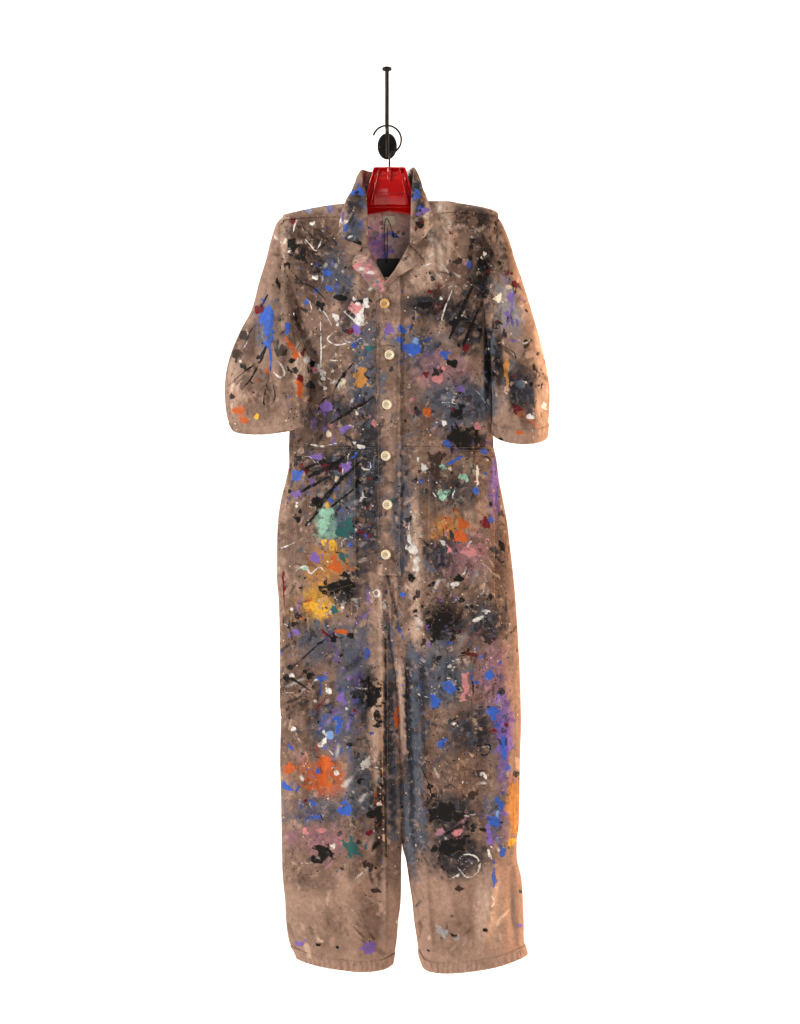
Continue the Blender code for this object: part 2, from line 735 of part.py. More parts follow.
def make_tag():
    width = TAG_RIGHT - TAG_LEFT
    centre = ((TAG_LEFT + TAG_RIGHT) / 2, TAG_Y, TAG_TOP - TAG_HEIGHT / 2)
    bm = bmesh.new()
    bmesh.ops.create_cube(bm, size=1.0)
    bmesh.ops.scale(bm, vec=(width, TAG_THICKNESS, TAG_HEIGHT), verts=bm.verts)
    bmesh.ops.translate(bm, vec=centre, verts=bm.verts)
    tag = add_object("swing_tag", mesh_from("swing_tag", bm), "tag_card")
    hole = (-0.0005, TAG_Y, TAG_TOP - 0.006)
    cut(tag, cutter_cylinder("tag_hole", 0.0022, 0.01, hole, FACING_FRONT))


def string_route():
    """The doubled string: from its upper free end over the loop, down, through the tag and up again."""
    y = TAG_Y - 0.0022
    return [
        Vector(point)
        for point in (
            (0.0125, y - 0.001, -0.1775), (0.0085, y - 0.0012, -0.162), (0.0045, y - 0.001, -0.150),
            (0.0005, y - 0.001, -0.1425), (-0.0030, y - 0.0005, -0.1445), (-0.0046, y, -0.158),
            (-0.0048, y, -0.180), (-0.0044, y, -0.203), (-0.0034, y, -0.2155), (-0.0012, y + 0.0010, -0.2205),
            (-0.0004, TAG_Y, -0.2216), (-0.0002, TAG_Y + 0.0020, -0.2190), (0.0000, TAG_Y + 0.0016, -0.2145),
            (0.0003, TAG_Y - 0.0004, -0.2090), (0.0008, y + 0.0002, -0.195), (0.0010, y, -0.175),
            (0.0012, y + 0.0006, -0.1575),
        )
    ]


def make_string():
    tube("tag_string", smooth_path(string_route(), 3), STRING_RADIUS, "string_cotton", 2)


make_wall_plate()
make_screws()
make_arm()
make_cap()
make_hanger_wire()
make_hanger_body()
make_fronts()
make_back()
make_yoke()
make_placket()
make_lapel("lapel_left", LEFT_LAPEL)
make_lapel("lapel_right", RIGHT_LAPEL)
make_collar()
make_buttons()
make_hips()
make_pocket("hip_pocket_left", POCKET_LEFT)
make_pocket("hip_pocket_right", POCKET_RIGHT)
make_leg("left", LEFT_SIDE, LEFT_LEG_INSIDE)
make_leg("right", RIGHT_SIDE, RIGHT_LEG_INSIDE)
make_sleeve("left", SLEEVE_LEFT_RUNGS)
make_sleeve("right", SLEEVE_RIGHT_RUNGS)
make_neck_loop()
make_tag()
make_string()
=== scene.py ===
"""Looks of the hung, paint-spattered coverall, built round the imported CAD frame.

Metres, +Z up, the front faces -Y, and "left" and "right" are the viewer's. Each cloth panel is a fine
grid over the garment's outlines. Its folds come from a relief of sculpted folds, and its paint from a
canvas that is painted in memory, stroke by stroke, and sampled at every vertex.
"""

import math

import bmesh
import bpy
import numpy as np
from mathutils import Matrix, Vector


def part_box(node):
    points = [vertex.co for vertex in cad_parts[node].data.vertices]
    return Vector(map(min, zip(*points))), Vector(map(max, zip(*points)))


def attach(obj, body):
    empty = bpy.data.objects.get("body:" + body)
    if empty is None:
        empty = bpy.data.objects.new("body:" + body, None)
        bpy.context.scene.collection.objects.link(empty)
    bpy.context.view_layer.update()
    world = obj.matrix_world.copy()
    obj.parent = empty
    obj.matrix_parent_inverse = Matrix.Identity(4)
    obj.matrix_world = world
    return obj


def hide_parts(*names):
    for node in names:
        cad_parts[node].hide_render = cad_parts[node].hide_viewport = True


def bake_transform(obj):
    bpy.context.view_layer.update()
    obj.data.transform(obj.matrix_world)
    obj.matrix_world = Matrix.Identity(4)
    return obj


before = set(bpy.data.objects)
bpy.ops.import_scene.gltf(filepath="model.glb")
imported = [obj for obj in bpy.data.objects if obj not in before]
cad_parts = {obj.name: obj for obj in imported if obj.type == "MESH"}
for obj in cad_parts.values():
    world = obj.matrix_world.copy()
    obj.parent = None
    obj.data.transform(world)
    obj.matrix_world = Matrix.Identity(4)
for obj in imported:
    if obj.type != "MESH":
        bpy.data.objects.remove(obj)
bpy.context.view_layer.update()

MM = 0.001
HANG_Y = sum(corner.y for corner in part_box("hanger_body")) / 2
WAIST_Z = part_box("front_left")[0].z
CROTCH_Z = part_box("leg_front_left")[1].z
PLACKET_LOW, PLACKET_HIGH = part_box("button_placket")
TAG_LOW, TAG_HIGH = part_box("swing_tag")
CENTRE_X = 0.0035
HANGER_X = 0.0045
CLOTH = 0.0011
FLOOR_Z = -1.80
YOKE_LIFT = 0.0016
STITCH_LIFT = 0.0006
# Pockets: side edge x, inner edge x, bottom at the side and at the inner edge
POCKET_TOP = -0.585
POCKETS = {"left": (-0.1720, -0.0550, -0.858, -0.822), "right": (0.1980, 0.0750, -0.866, -0.822)}

CAMERA_X = 0.024
CAMERA_Z = -0.687
CAMERA_DISTANCE = 4.5
VIEW_HEIGHT = 1.894
SENSOR = 36.0

# Outlines from the front, as (z, x) from top to bottom
LEFT_ARMHOLE = (
    (-0.150, -0.1990), (-0.158, -0.1975), (-0.190, -0.1965), (-0.221, -0.1955), (-0.260, -0.1885),
    (-0.293, -0.1765), (-0.318, -0.1720), (-0.360, -0.1730), (-0.450, -0.1780), (-0.566, -0.1815),
)
RIGHT_ARMHOLE = (
    (-0.146, 0.2045), (-0.160, 0.2020), (-0.190, 0.2010), (-0.220, 0.1985), (-0.247, 0.1940),
    (-0.280, 0.1880), (-0.318, 0.1840), (-0.350, 0.1850), (-0.400, 0.1900), (-0.450, 0.1955),
    (-0.566, 0.1965),
)
LEFT_SIDE = (
    (-0.566, -0.1815), (-0.600, -0.1815), (-0.628, -0.1869), (-0.665, -0.1961), (-0.702, -0.2017),
    (-0.750, -0.2035), (-0.813, -0.2035), (-0.850, -0.2005), (-0.924, -0.1985), (-1.030, -0.1985),
    (-1.072, -0.1965), (-1.146, -0.1980), (-1.220, -0.1961), (-1.331, -0.1943), (-1.368, -0.1924),
    (-1.405, -0.1887), (-1.442, -0.1869), (-1.480, -0.1813), (-1.505, -0.1690), (-1.535, -0.1590),
)
RIGHT_SIDE = (
    (-0.566, 0.1965), (-0.591, 0.2025), (-0.628, 0.2072), (-0.665, 0.2146), (-0.702, 0.2215),
    (-0.739, 0.2262),
    (-0.813, 0.2345), (-0.887, 0.2405), (-0.980, 0.2455), (-1.072, 0.2480), (-1.146, 0.2461),
    (-1.257, 0.2442),
    (-1.294, 0.2405), (-1.331, 0.2410), (-1.368, 0.2490), (-1.442, 0.2530), (-1.480, 0.2535),
    (-1.503, 0.2590),
    (-1.535, 0.2570),
)
LEFT_INSEAM = (
    (-0.860, 0.0035), (-0.915, 0.0035), (-0.950, 0.0095), (-1.000, 0.0165), (-1.080, 0.0225),
    (-1.280, 0.0275),
    (-1.331, 0.0265), (-1.405, 0.0255), (-1.442, 0.0210), (-1.479, 0.0180), (-1.510, 0.0130),
    (-1.535, 0.0080),
)
RIGHT_INSEAM = (
    (-0.860, 0.0035), (-0.915, 0.0035), (-0.950, 0.0070), (-1.000, 0.0135), (-1.080, 0.0195),
    (-1.280, 0.0260),
    (-1.331, 0.0352), (-1.368, 0.0407), (-1.405, 0.0463), (-1.442, 0.0500), (-1.479, 0.0555),
    (-1.512, 0.0605),
    (-1.535, 0.0700),
)
# Lower edge of each leg, as (x, z)
LEFT_HEM = (
    (-0.172, -1.508), (-0.162, -1.5124), (-0.122, -1.5216), (-0.085, -1.527), (-0.046, -1.531),
    (-0.009, -1.529),
    (0.011, -1.5216),
)
RIGHT_HEM = (
    (0.060, -1.516), (0.071, -1.531), (0.100, -1.5346), (0.137, -1.532), (0.194, -1.5235), (0.231, -1.514),
    (0.260, -1.5035),
)
SHOULDER_TOP = (
    (-0.2035, -0.152), (-0.190, -0.141), (-0.180, -0.134), (-0.078, -0.1156), (0.0925, -0.111),
    (0.135, -0.1156),
    (0.187, -0.126), (0.205, -0.137), (0.2146, -0.1452),
)
LEFT_NECK = (
    (-0.12, -0.058), (-0.17, -0.049), (-0.2026, -0.0345), (-0.2407, -0.0150), (-0.2655, -0.0020),
    (-0.2800, 0.0060),
)
RIGHT_NECK = (
    (-0.12, 0.064), (-0.17, 0.056), (-0.2000, 0.0400), (-0.2190, 0.0285), (-0.2360, 0.0180),
    (-0.2560, 0.0060), (-0.2747, -0.0105), (-0.2850, PLACKET_LOW.x),
)

# Depth of the garment before and behind the hanger, as (z, depth)
FRONT_DEPTH = ((-0.16, 0.038), (-0.45, 0.038), (-0.60, 0.033), (-0.75, 0.032), (-0.92, 0.025))
BACK_DEPTH = ((-0.16, 0.034), (-0.45, 0.034), (-0.60, 0.030), (-0.75, 0.032), (-0.92, 0.025))
LEG_DEPTH = ((-0.92, 0.025), (-1.10, 0.033), (-1.50, 0.040))
SHOULDER_DEPTH = 0.045
ARMHOLE_FULLNESS = 0.035

# Sleeve rungs, shoulder to hem: outer (x, z), inner (x, z), inner edge's y shift, half depth, front droop
LEFT_SLEEVE = (
    (-0.1840, -0.1500, -0.1580, -0.316, 0.000, 0.016, 0.000),
    (-0.2020, -0.1500, -0.1720, -0.318, 0.000, 0.022, 0.000),
    (-0.2146, -0.1840, -0.1715, -0.326, -0.004, 0.025, 0.000),
    (-0.2239, -0.2210, -0.1690, -0.334, -0.009, 0.026, 0.000),
    (-0.2365, -0.2620, -0.1650, -0.345, -0.015, 0.027, 0.000),
    (-0.2500, -0.3120, -0.1600, -0.360, -0.022, 0.027, 0.000),
    (-0.2700, -0.3500, -0.1530, -0.380, -0.030, 0.026, 0.000),
    (-0.2880, -0.3920, -0.1440, -0.405, -0.040, 0.024, 0.000),
    (-0.2985, -0.4350, -0.1405, -0.432, -0.045, 0.022, 0.000),
    (-0.3000, -0.4750, -0.1410, -0.465, -0.045, 0.021, 0.006),
    (-0.2955, -0.5120, -0.1425, -0.497, -0.045, 0.021, 0.011),
    (-0.2860, -0.5330, -0.1450, -0.5225, -0.045, 0.021, 0.016),
)
RIGHT_SLEEVE = (
    (0.1890, -0.1470, 0.1640, -0.316, 0.000, 0.016, 0.000),
    (0.2075, -0.1455, 0.1780, -0.318, 0.000, 0.022, 0.000),
    (0.2257, -0.1840, 0.1800, -0.331, 0.000, 0.027, 0.000),
    (0.2368, -0.2210, 0.1810, -0.342, 0.000, 0.030, 0.000),
    (0.2498, -0.2580, 0.1820, -0.355, 0.000, 0.034, 0.000),
    (0.2665, -0.3120, 0.1840, -0.372, 0.000, 0.038, 0.000),
    (0.2830, -0.3690, 0.1880, -0.400, 0.000, 0.042, 0.000),
    (0.2940, -0.4150, 0.1910, -0.432, 0.000, 0.044, 0.000),
    (0.3005, -0.4600, 0.1930, -0.468, 0.000, 0.045, 0.004),
    (0.2995, -0.5050, 0.1935, -0.504, 0.000, 0.045, 0.010),
    (0.2960, -0.5450, 0.1940, -0.5400, 0.000, 0.045, 0.020),
)


# Numbers and curves


def smooth_line(points, steps=8):
    """A Catmull-Rom curve through the points, as an array with steps points in each stretch."""
    points = np.array(points, float)
    ends = np.vstack([2 * points[0] - points[1], points, 2 * points[-1] - points[-2]])
    t = (np.arange(steps) / steps)[:, None]
    line = []
    for a, b, c, d in zip(ends, ends[1:], ends[2:], ends[3:]):
        line.append(
            0.5 * (2 * b + (c - a) * t + (2 * a - 5 * b + 4 * c - d) * t**2 + (3 * b - a - 3 * c + d) * t**3)
        )
    return np.vstack([*line, points[-1:]])


def along(table, value):
    """The table's second number at this value of its first, on a smooth line."""
    line = smooth_line(sorted(table))
    return np.interp(value, line[:, 0], line[:, 1])


def straight(table, value):
    positions, values = zip(*sorted(table))
    return np.interp(value, positions, values)


def mix(a, b, share):
    return a + (b - a) * share


def ease(low, high, value):
    """0 below low, 1 above high and smooth between them."""
    t = np.clip((value - low) / (high - low), 0.0, 1.0)
    return t * t * (3 - 2 * t)


def noise(shape, size, seed, octaves=3):
    """Seeded smooth noise about 0.5, whose largest lumps are size (rows, columns) cells across."""
    random = np.random.default_rng(seed)
    total = np.zeros(shape)
    weights = 0.0
    for octave in range(octaves):
        weight = 0.5**octave
        axes = []
        for count, lump in zip(shape, size):
            place = np.arange(count) * 2**octave / lump
            low = np.floor(place).astype(int)
            part = place - low
            axes.append((low, part * part * (3 - 2 * part)))
        (row, row_part), (column, column_part) = axes
        lumps = random.random((row[-1] + 2, column[-1] + 2))
        upper = mix(lumps[row][:, column], lumps[row][:, column + 1], column_part)
        lower = mix(lumps[row + 1][:, column], lumps[row + 1][:, column + 1], column_part)
        total += weight * mix(upper, lower, row_part[:, None])
        weights += weight
    return total / weights


def evened(values):
    """The same pattern with its values spread evenly from 0 to 1."""
    order = np.sort(values.ravel())
    return np.searchsorted(order, values.ravel()).reshape(values.shape) / values.size


def bilinear(values, row, column):
    """An array read at fractional places."""
    row = np.clip(row, 0, values.shape[0] - 1.001)
    column = np.clip(column, 0, values.shape[1] - 1.001)
    r = row.astype(int)
    c = column.astype(int)
    fr = row - r
    fc = column - c
    if values.ndim == 3:
        fr = fr[..., None]
        fc = fc[..., None]
    return mix(mix(values[r, c], values[r, c + 1], fc), mix(values[r + 1, c], values[r + 1, c + 1], fc), fr)


def distance_to(line, x, z):
    """Distance from each (x, z) to a line of points, and how far along it (0 to 1) the nearest place is."""
    lengths = np.linalg.norm(np.diff(line, axis=0), axis=1)
    total = max(lengths.sum(), 1e-9)
    best = np.full(x.shape, np.inf)
    share = np.zeros(x.shape)
    done = 0.0
    for start, step, length in zip(line, np.diff(line, axis=0), lengths):
        if length > 0:
            t = np.clip(((x - start[0]) * step[0] + (z - start[1]) * step[1]) / length**2, 0, 1)
            far = np.hypot(x - start[0] - t * step[0], z - start[1] - t * step[1])
            nearer = far < best
            best = np.where(nearer, far, best)
            share = np.where(nearer, (done + t * length) / total, share)
        done += length
    return best, share


# Folds: a relief that every panel of one side shares, positive towards the viewer


class Relief:
    """Heights on a grid seen from the front, built up fold by fold."""

    def __init__(self, low, high, cell=0.002):
        self.low = low
        self.cell = cell
        across = np.arange(low[0], high[0], cell)
        up = np.arange(low[1], high[1], cell)
        self.x, self.z = np.meshgrid(across, up)
        self.height = np.zeros(self.x.shape)

    def near(self, line, reach):
        """The part of the grid within reach of a line."""
        low = np.floor((line.min(0) - reach - self.low) / self.cell).astype(int)
        high = np.ceil((line.max(0) + reach - self.low) / self.cell).astype(int) + 1
        rows, columns = self.x.shape
        return slice(max(low[1], 0), min(high[1], rows)), slice(max(low[0], 0), min(high[0], columns))

    def fold(self, points, width, height, lean=0.0):
        """A ridge or valley along points in millimetres. lean makes its right (1) or left (-1) side steep."""
        line = smooth_line(np.array(points) * MM, 6)
        part = self.near(line, 4 * width * MM)
        x, z = self.x[part], self.z[part]
        far, share = distance_to(line, x, z)
        nearest_x = np.interp(share, np.linspace(0, 1, len(line)), line[:, 0])
        side = np.sign(x - nearest_x)
        spread = width * MM * (1 - 0.6 * lean * side)
        ends = np.sin(np.pi * np.clip(share, 0.02, 0.98)) ** 0.6
        self.height[part] += 1.35 * height * MM * ends * np.exp(-((far / spread) ** 2))

    def crumple(self, size, height, seed, area=None):
        """Seeded soft creases of this size (up, across) and height in millimetres, within area if given."""
        lumps = tuple(max(2.0, s * MM / self.cell) for s in size)
        bend = noise(self.x.shape, (60 * MM / self.cell,) * 2, seed + 7, 2)
        rough = noise(self.x.shape, lumps, seed, 2)
        rough = np.roll(rough, 3, axis=1) * 0.5 + rough * 0.5
        creases = 1 - np.abs(2 * rough - 1) * 2.2
        share = np.ones(self.x.shape) if area is None else self.patch(*area)
        self.height += height * MM * share * (0.35 * creases + 0.9 * (bend - 0.5) + (rough - 0.5))

    def patch(self, left, right, bottom, top, soft=40):
        """1 inside a box in millimetres, fading to 0 over soft millimetres outside it."""
        across = ease(left - soft, left, self.x / MM) * (1 - ease(right, right + soft, self.x / MM))
        up = ease(bottom - soft, bottom, self.z / MM) * (1 - ease(top, top + soft, self.z / MM))
        return across * up

    def at(self, x, z):
        return bilinear(self.height, (z - self.low[1]) / self.cell, (x - self.low[0]) / self.cell)


def front_relief():
    relief = Relief((-0.34, -1.56), (0.34, -0.09))
    relief.crumple((70, 34), 3.6, 11, (-190, 190, -560, -290))
    relief.crumple((90, 30), 3.0, 12, (-205, 235, -900, -600))
    relief.crumple((120, 40), 4.6, 13, (-200, 250, -1480, -930))
    relief.crumple((80, 30), 4.0, 15, (-330, -200, -540, -200))
    relief.crumple((80, 30), 4.0, 16, (215, 330, -540, -200))
    relief.crumple((26, 18), 1.1, 14)
    for points, width, height, lean in TORSO_FOLDS + HIP_FOLDS:
        relief.fold(points, width, height, lean)
    for points, width, height, lean in SLEEVE_FOLDS:
        relief.fold(points, width, height * 1.5, lean)
    for points, width, height, lean in LEG_FOLDS:
        relief.fold(points, width * 0.85, height * 1.6, lean)
    for points, width, height in SEAM_RIDGES:
        relief.fold(points, width, height)
    for left, right in ((-178, 5), (66, 256)):
        pucker(relief, left, right)
    return relief


def pucker(relief, left, right):
    """The fine upright puckers of a stitched leg hem."""
    waves = np.sin(relief.x / MM * 2 * math.pi / 9.5 + 3 * np.sin(relief.x / MM / 23))
    share = relief.patch(left, right, -1540, -1516, 10)
    relief.height += 1.3 * MM * waves * share


# Folds of the front, as (points (x, z) in mm, width, height, lean)
TORSO_FOLDS = (
    (((82, -150), (86, -200), (88, -250)), 5, 2.6, 0.3),
    (((97, -135), (103, -190), (101, -262)), 6, 3.0, 0.0),
    (((112, -140), (118, -200), (112, -270)), 7, 2.2, -0.4),
    (((66, -215), (80, -240), (84, -300)), 6, 1.8, 0.0),
    (((-52, -215), (-66, -290), (-52, -380), (-48, -520)), 12, -2.4, 0.0),
    (((-28, -300), (-30, -400), (-27, -540)), 7, 2.2, -0.4),
    (((-165, -305), (-140, -330), (-112, -345)), 9, 4.0, 0.5),
    (((-160, -335), (-128, -372), (-104, -410)), 9, 3.0, 0.4),
    (((-120, -180), (-132, -240), (-140, -300)), 12, 2.4, 0.0),
    (((178, -345), (150, -352), (120, -380)), 9, 4.2, 0.4),
    (((182, -372), (160, -392), (142, -430)), 8, 3.4, 0.4),
    (((176, -300), (168, -240), (172, -190)), 9, 2.4, 0.0),
    (((186, -390), (184, -450), (186, -540)), 6, 2.4, 0.5),
    (((172, -395), (170, -450), (168, -520)), 6, -2.4, 0.0),
    (((60, -300), (66, -400), (60, -550)), 16, 2.4, 0.0),
    (((-130, -400), (-122, -470), (-128, -552)), 14, 2.8, 0.0),
    (((120, -430), (126, -500), (120, -556)), 14, 2.4, 0.0),
    (((-90, -180), (-96, -250), (-88, -330)), 16, 1.8, 0.0),
)
HIP_FOLDS = (
    (((-150, -574), (-152, -620), (-158, -690)), 9, 2.6, 0.0),
    (((-110, -574), (-106, -630), (-112, -720)), 10, 2.2, 0.0),
    (((-62, -574), (-58, -640), (-60, -740)), 9, 2.2, 0.3),
    (((60, -574), (62, -630), (58, -740)), 9, 2.2, 0.0),
    (((104, -574), (110, -640), (116, -730)), 10, 2.4, 0.0),
    (((150, -574), (158, -640), (168, -730)), 10, 2.6, 0.0),
    (((-34, -780), (-22, -850), (2, -918)), 8, 3.2, 0.4),
    (((-16, -815), (-6, -868), (4, -922)), 5, 4.0, -0.3),
    (((9, -812), (8, -868), (5, -920)), 4, 4.2, 0.4),
    (((20, -806), (15, -860), (7, -918)), 5, 3.2, 0.3),
    (((44, -790), (34, -850), (10, -922)), 9, 3.0, -0.3),
    (((-7, -835), (-1, -880), (3, -915)), 3.4, -3.2, 0.0),
    (((14, -835), (11, -880), (6, -915)), 3.4, -3.2, 0.0),
    (((-96, -840), (-60, -892), (-12, -930)), 12, 3.2, 0.0),
    (((118, -840), (80, -892), (28, -932)), 12, 3.2, 0.0),
    (((-150, -800), (-160, -860), (-158, -930)), 13, 2.6, 0.0),
    (((190, -800), (196, -860), (204, -940)), 13, 2.6, 0.0),
)
LEG_FOLDS = (
    (((-6, -935), (-3, -1100), (-2, -1300), (-3, -1500)), 3.2, 2.6, 0.8),
    (((-30, -940), (-28, -1100), (-24, -1280)), 9, -3.2, 0.0),
    (((-62, -960), (-66, -1100), (-60, -1270), (-66, -1400)), 17, 4.6, 0.0),
    (((-118, -960), (-122, -1080), (-112, -1220)), 13, -3.2, 0.0),
    (((-160, -960), (-152, -1100), (-158, -1260)), 14, 3.2, 0.0),
    (((-140, -1300), (-110, -1345), (-70, -1352)), 14, -2.6, 0.0),
    (((-96, -1330), (-60, -1372), (-20, -1330)), 14, 3.0, 0.2),
    (((-178, -1330), (-150, -1372), (-128, -1362)), 10, 2.6, 0.0),
    (((-60, -1380), (-44, -1430), (-50, -1500)), 13, 3.4, 0.0),
    (((-120, -1390), (-118, -1440), (-124, -1500)), 15, 2.6, 0.0),
    (((-24, -1360), (-20, -1420), (-26, -1490)), 8, -2.6, 0.0),
    (((40, -950), (46, -1100), (50, -1270)), 6, -3.4, 0.0),
    (((62, -960), (70, -1100), (66, -1260)), 11, 3.8, 0.0),
    (((118, -980), (126, -1110), (120, -1280)), 20, 4.4, 0.0),
    (((176, -960), (182, -1120), (176, -1290)), 12, -3.0, 0.0),
    (((212, -960), (222, -1120), (216, -1290)), 13, 3.4, 0.0),
    (((70, -1340), (76, -1420), (84, -1505)), 8, 3.2, 0.3),
    (((166, -1340), (160, -1420), (168, -1500)), 12, -3.2, 0.0),
    (((196, -1310), (190, -1400), (176, -1500)), 12, 3.6, 0.2),
    (((226, -1340), (228, -1420), (236, -1495)), 8, -2.4, 0.0),
    (((112, -1360), (118, -1430), (112, -1500)), 15, 2.6, 0.0),
)

# Seams raised a little by the layers turned in them
SEAM_RIDGES = (
    (((-182, -570), (-100, -571), (0, -570), (100, -571), (196, -570)), 2.6, 1.1),
    (((-182, -563), (-100, -563), (0, -563), (100, -563), (196, -563)), 2.2, -0.9),
    (((191, -872), (210, -870), (229, -872)), 2.4, 1.2),
    (((32, -735), (60, -736), (76, -735)), 2.2, 0.9),
    (((58, -735), (59, -860), (60, -980)), 2.2, 0.9),
    (((-3, -930), (-1, -1150), (-1, -1350), (-2, -1500)), 2.6, 1.4),
)
SLEEVE_FOLDS = (
    (((184, -350), (222, -402), (262, -428), (292, -452)), 7, 6.0, -0.6),
    (((196, -384), (230, -436), (262, -462)), 10, -5.0, 0.0),
    (((222, -430), (224, -480), (220, -530)), 9, 4.0, 0.3),
    (((214, -200), (232, -262), (240, -330)), 10, 2.6, 0.0),
    (((266, -440), (270, -490), (268, -540)), 8, 3.0, 0.0),
    (((-204, -230), (-214, -290), (-212, -350)), 10, 2.6, 0.0),
    (((-228, -300), (-240, -360), (-236, -420)), 9, -3.4, 0.0),
    (((-176, -360), (-196, -420), (-190, -480)), 9, 3.6, 0.3),
    (((-256, -380), (-262, -440), (-250, -510)), 11, 3.4, 0.0),
    (((-210, -400), (-214, -460), (-206, -520)), 7, -3.2, 0.0),
    (((-160, -420), (-164, -470), (-158, -510)), 5, 3.0, 0.0),
)


def back_relief():
    relief = Relief((-0.34, -1.56), (0.34, -0.08))
    relief.crumple((110, 42), 4.2, 31)
    relief.crumple((30, 20), 1.1, 32)
    for points, width, height, lean in BACK_FOLDS:
        relief.fold(points, width, height, lean)
    return relief


BACK_FOLDS = (
    (((-80, -190), (-84, -330), (-70, -520)), 15, 4.0, 0.0),
    (((84, -190), (90, -330), (76, -520)), 15, 4.0, 0.0),
    (((4, -200), (8, -360), (2, -540)), 18, -3.4, 0.0),
    (((-110, -600), (-104, -720), (-80, -880)), 16, 3.6, 0.0),
    (((130, -600), (128, -720), (96, -880)), 16, 3.6, 0.0),
    (((-40, -880), (-20, -930), (0, -960)), 9, 4.0, 0.0),
    (((50, -880), (28, -930), (8, -960)), 9, 4.0, 0.0),
    (((-90, -980), (-96, -1180), (-84, -1440)), 18, 4.4, 0.0),
    (((130, -980), (138, -1180), (150, -1440)), 18, 4.4, 0.0),
)


# Paint: canvases seen from the front and from the back, in millimetres


def srgb(red, green, blue):
    """A colour given in 0 to 255 as linear light."""
    values = np.array([red, green, blue]) / 255.0
    return np.where(values <= 0.04045, values / 12.92, ((values + 0.055) / 1.055) ** 2.4)


COLOURS = {
    "tan": srgb(164, 133, 116), "light_tan": srgb(194, 164, 144), "brown": srgb(100, 78, 66),
    "dark_brown": srgb(54, 38, 32), "charcoal": srgb(48, 47, 52), "black": srgb(15, 13, 13),
    "slate": srgb(82, 88, 100), "blue": srgb(50, 86, 170), "pale_blue": srgb(116, 150, 196),
    "violet": srgb(116, 90, 160), "white": srgb(212, 206, 200), "cream": srgb(214, 198, 176),
    "grey": srgb(142, 138, 140), "pink": srgb(190, 122, 124), "mauve": srgb(146, 104, 114),
    "dark_red": srgb(96, 16, 24), "red": srgb(170, 54, 42), "orange": srgb(184, 86, 36),
    "ochre": srgb(172, 118, 60), "yellow": srgb(214, 160, 52), "mint": srgb(136, 178, 156),
    "teal": srgb(38, 84, 84),
}
EDGE = 1.6


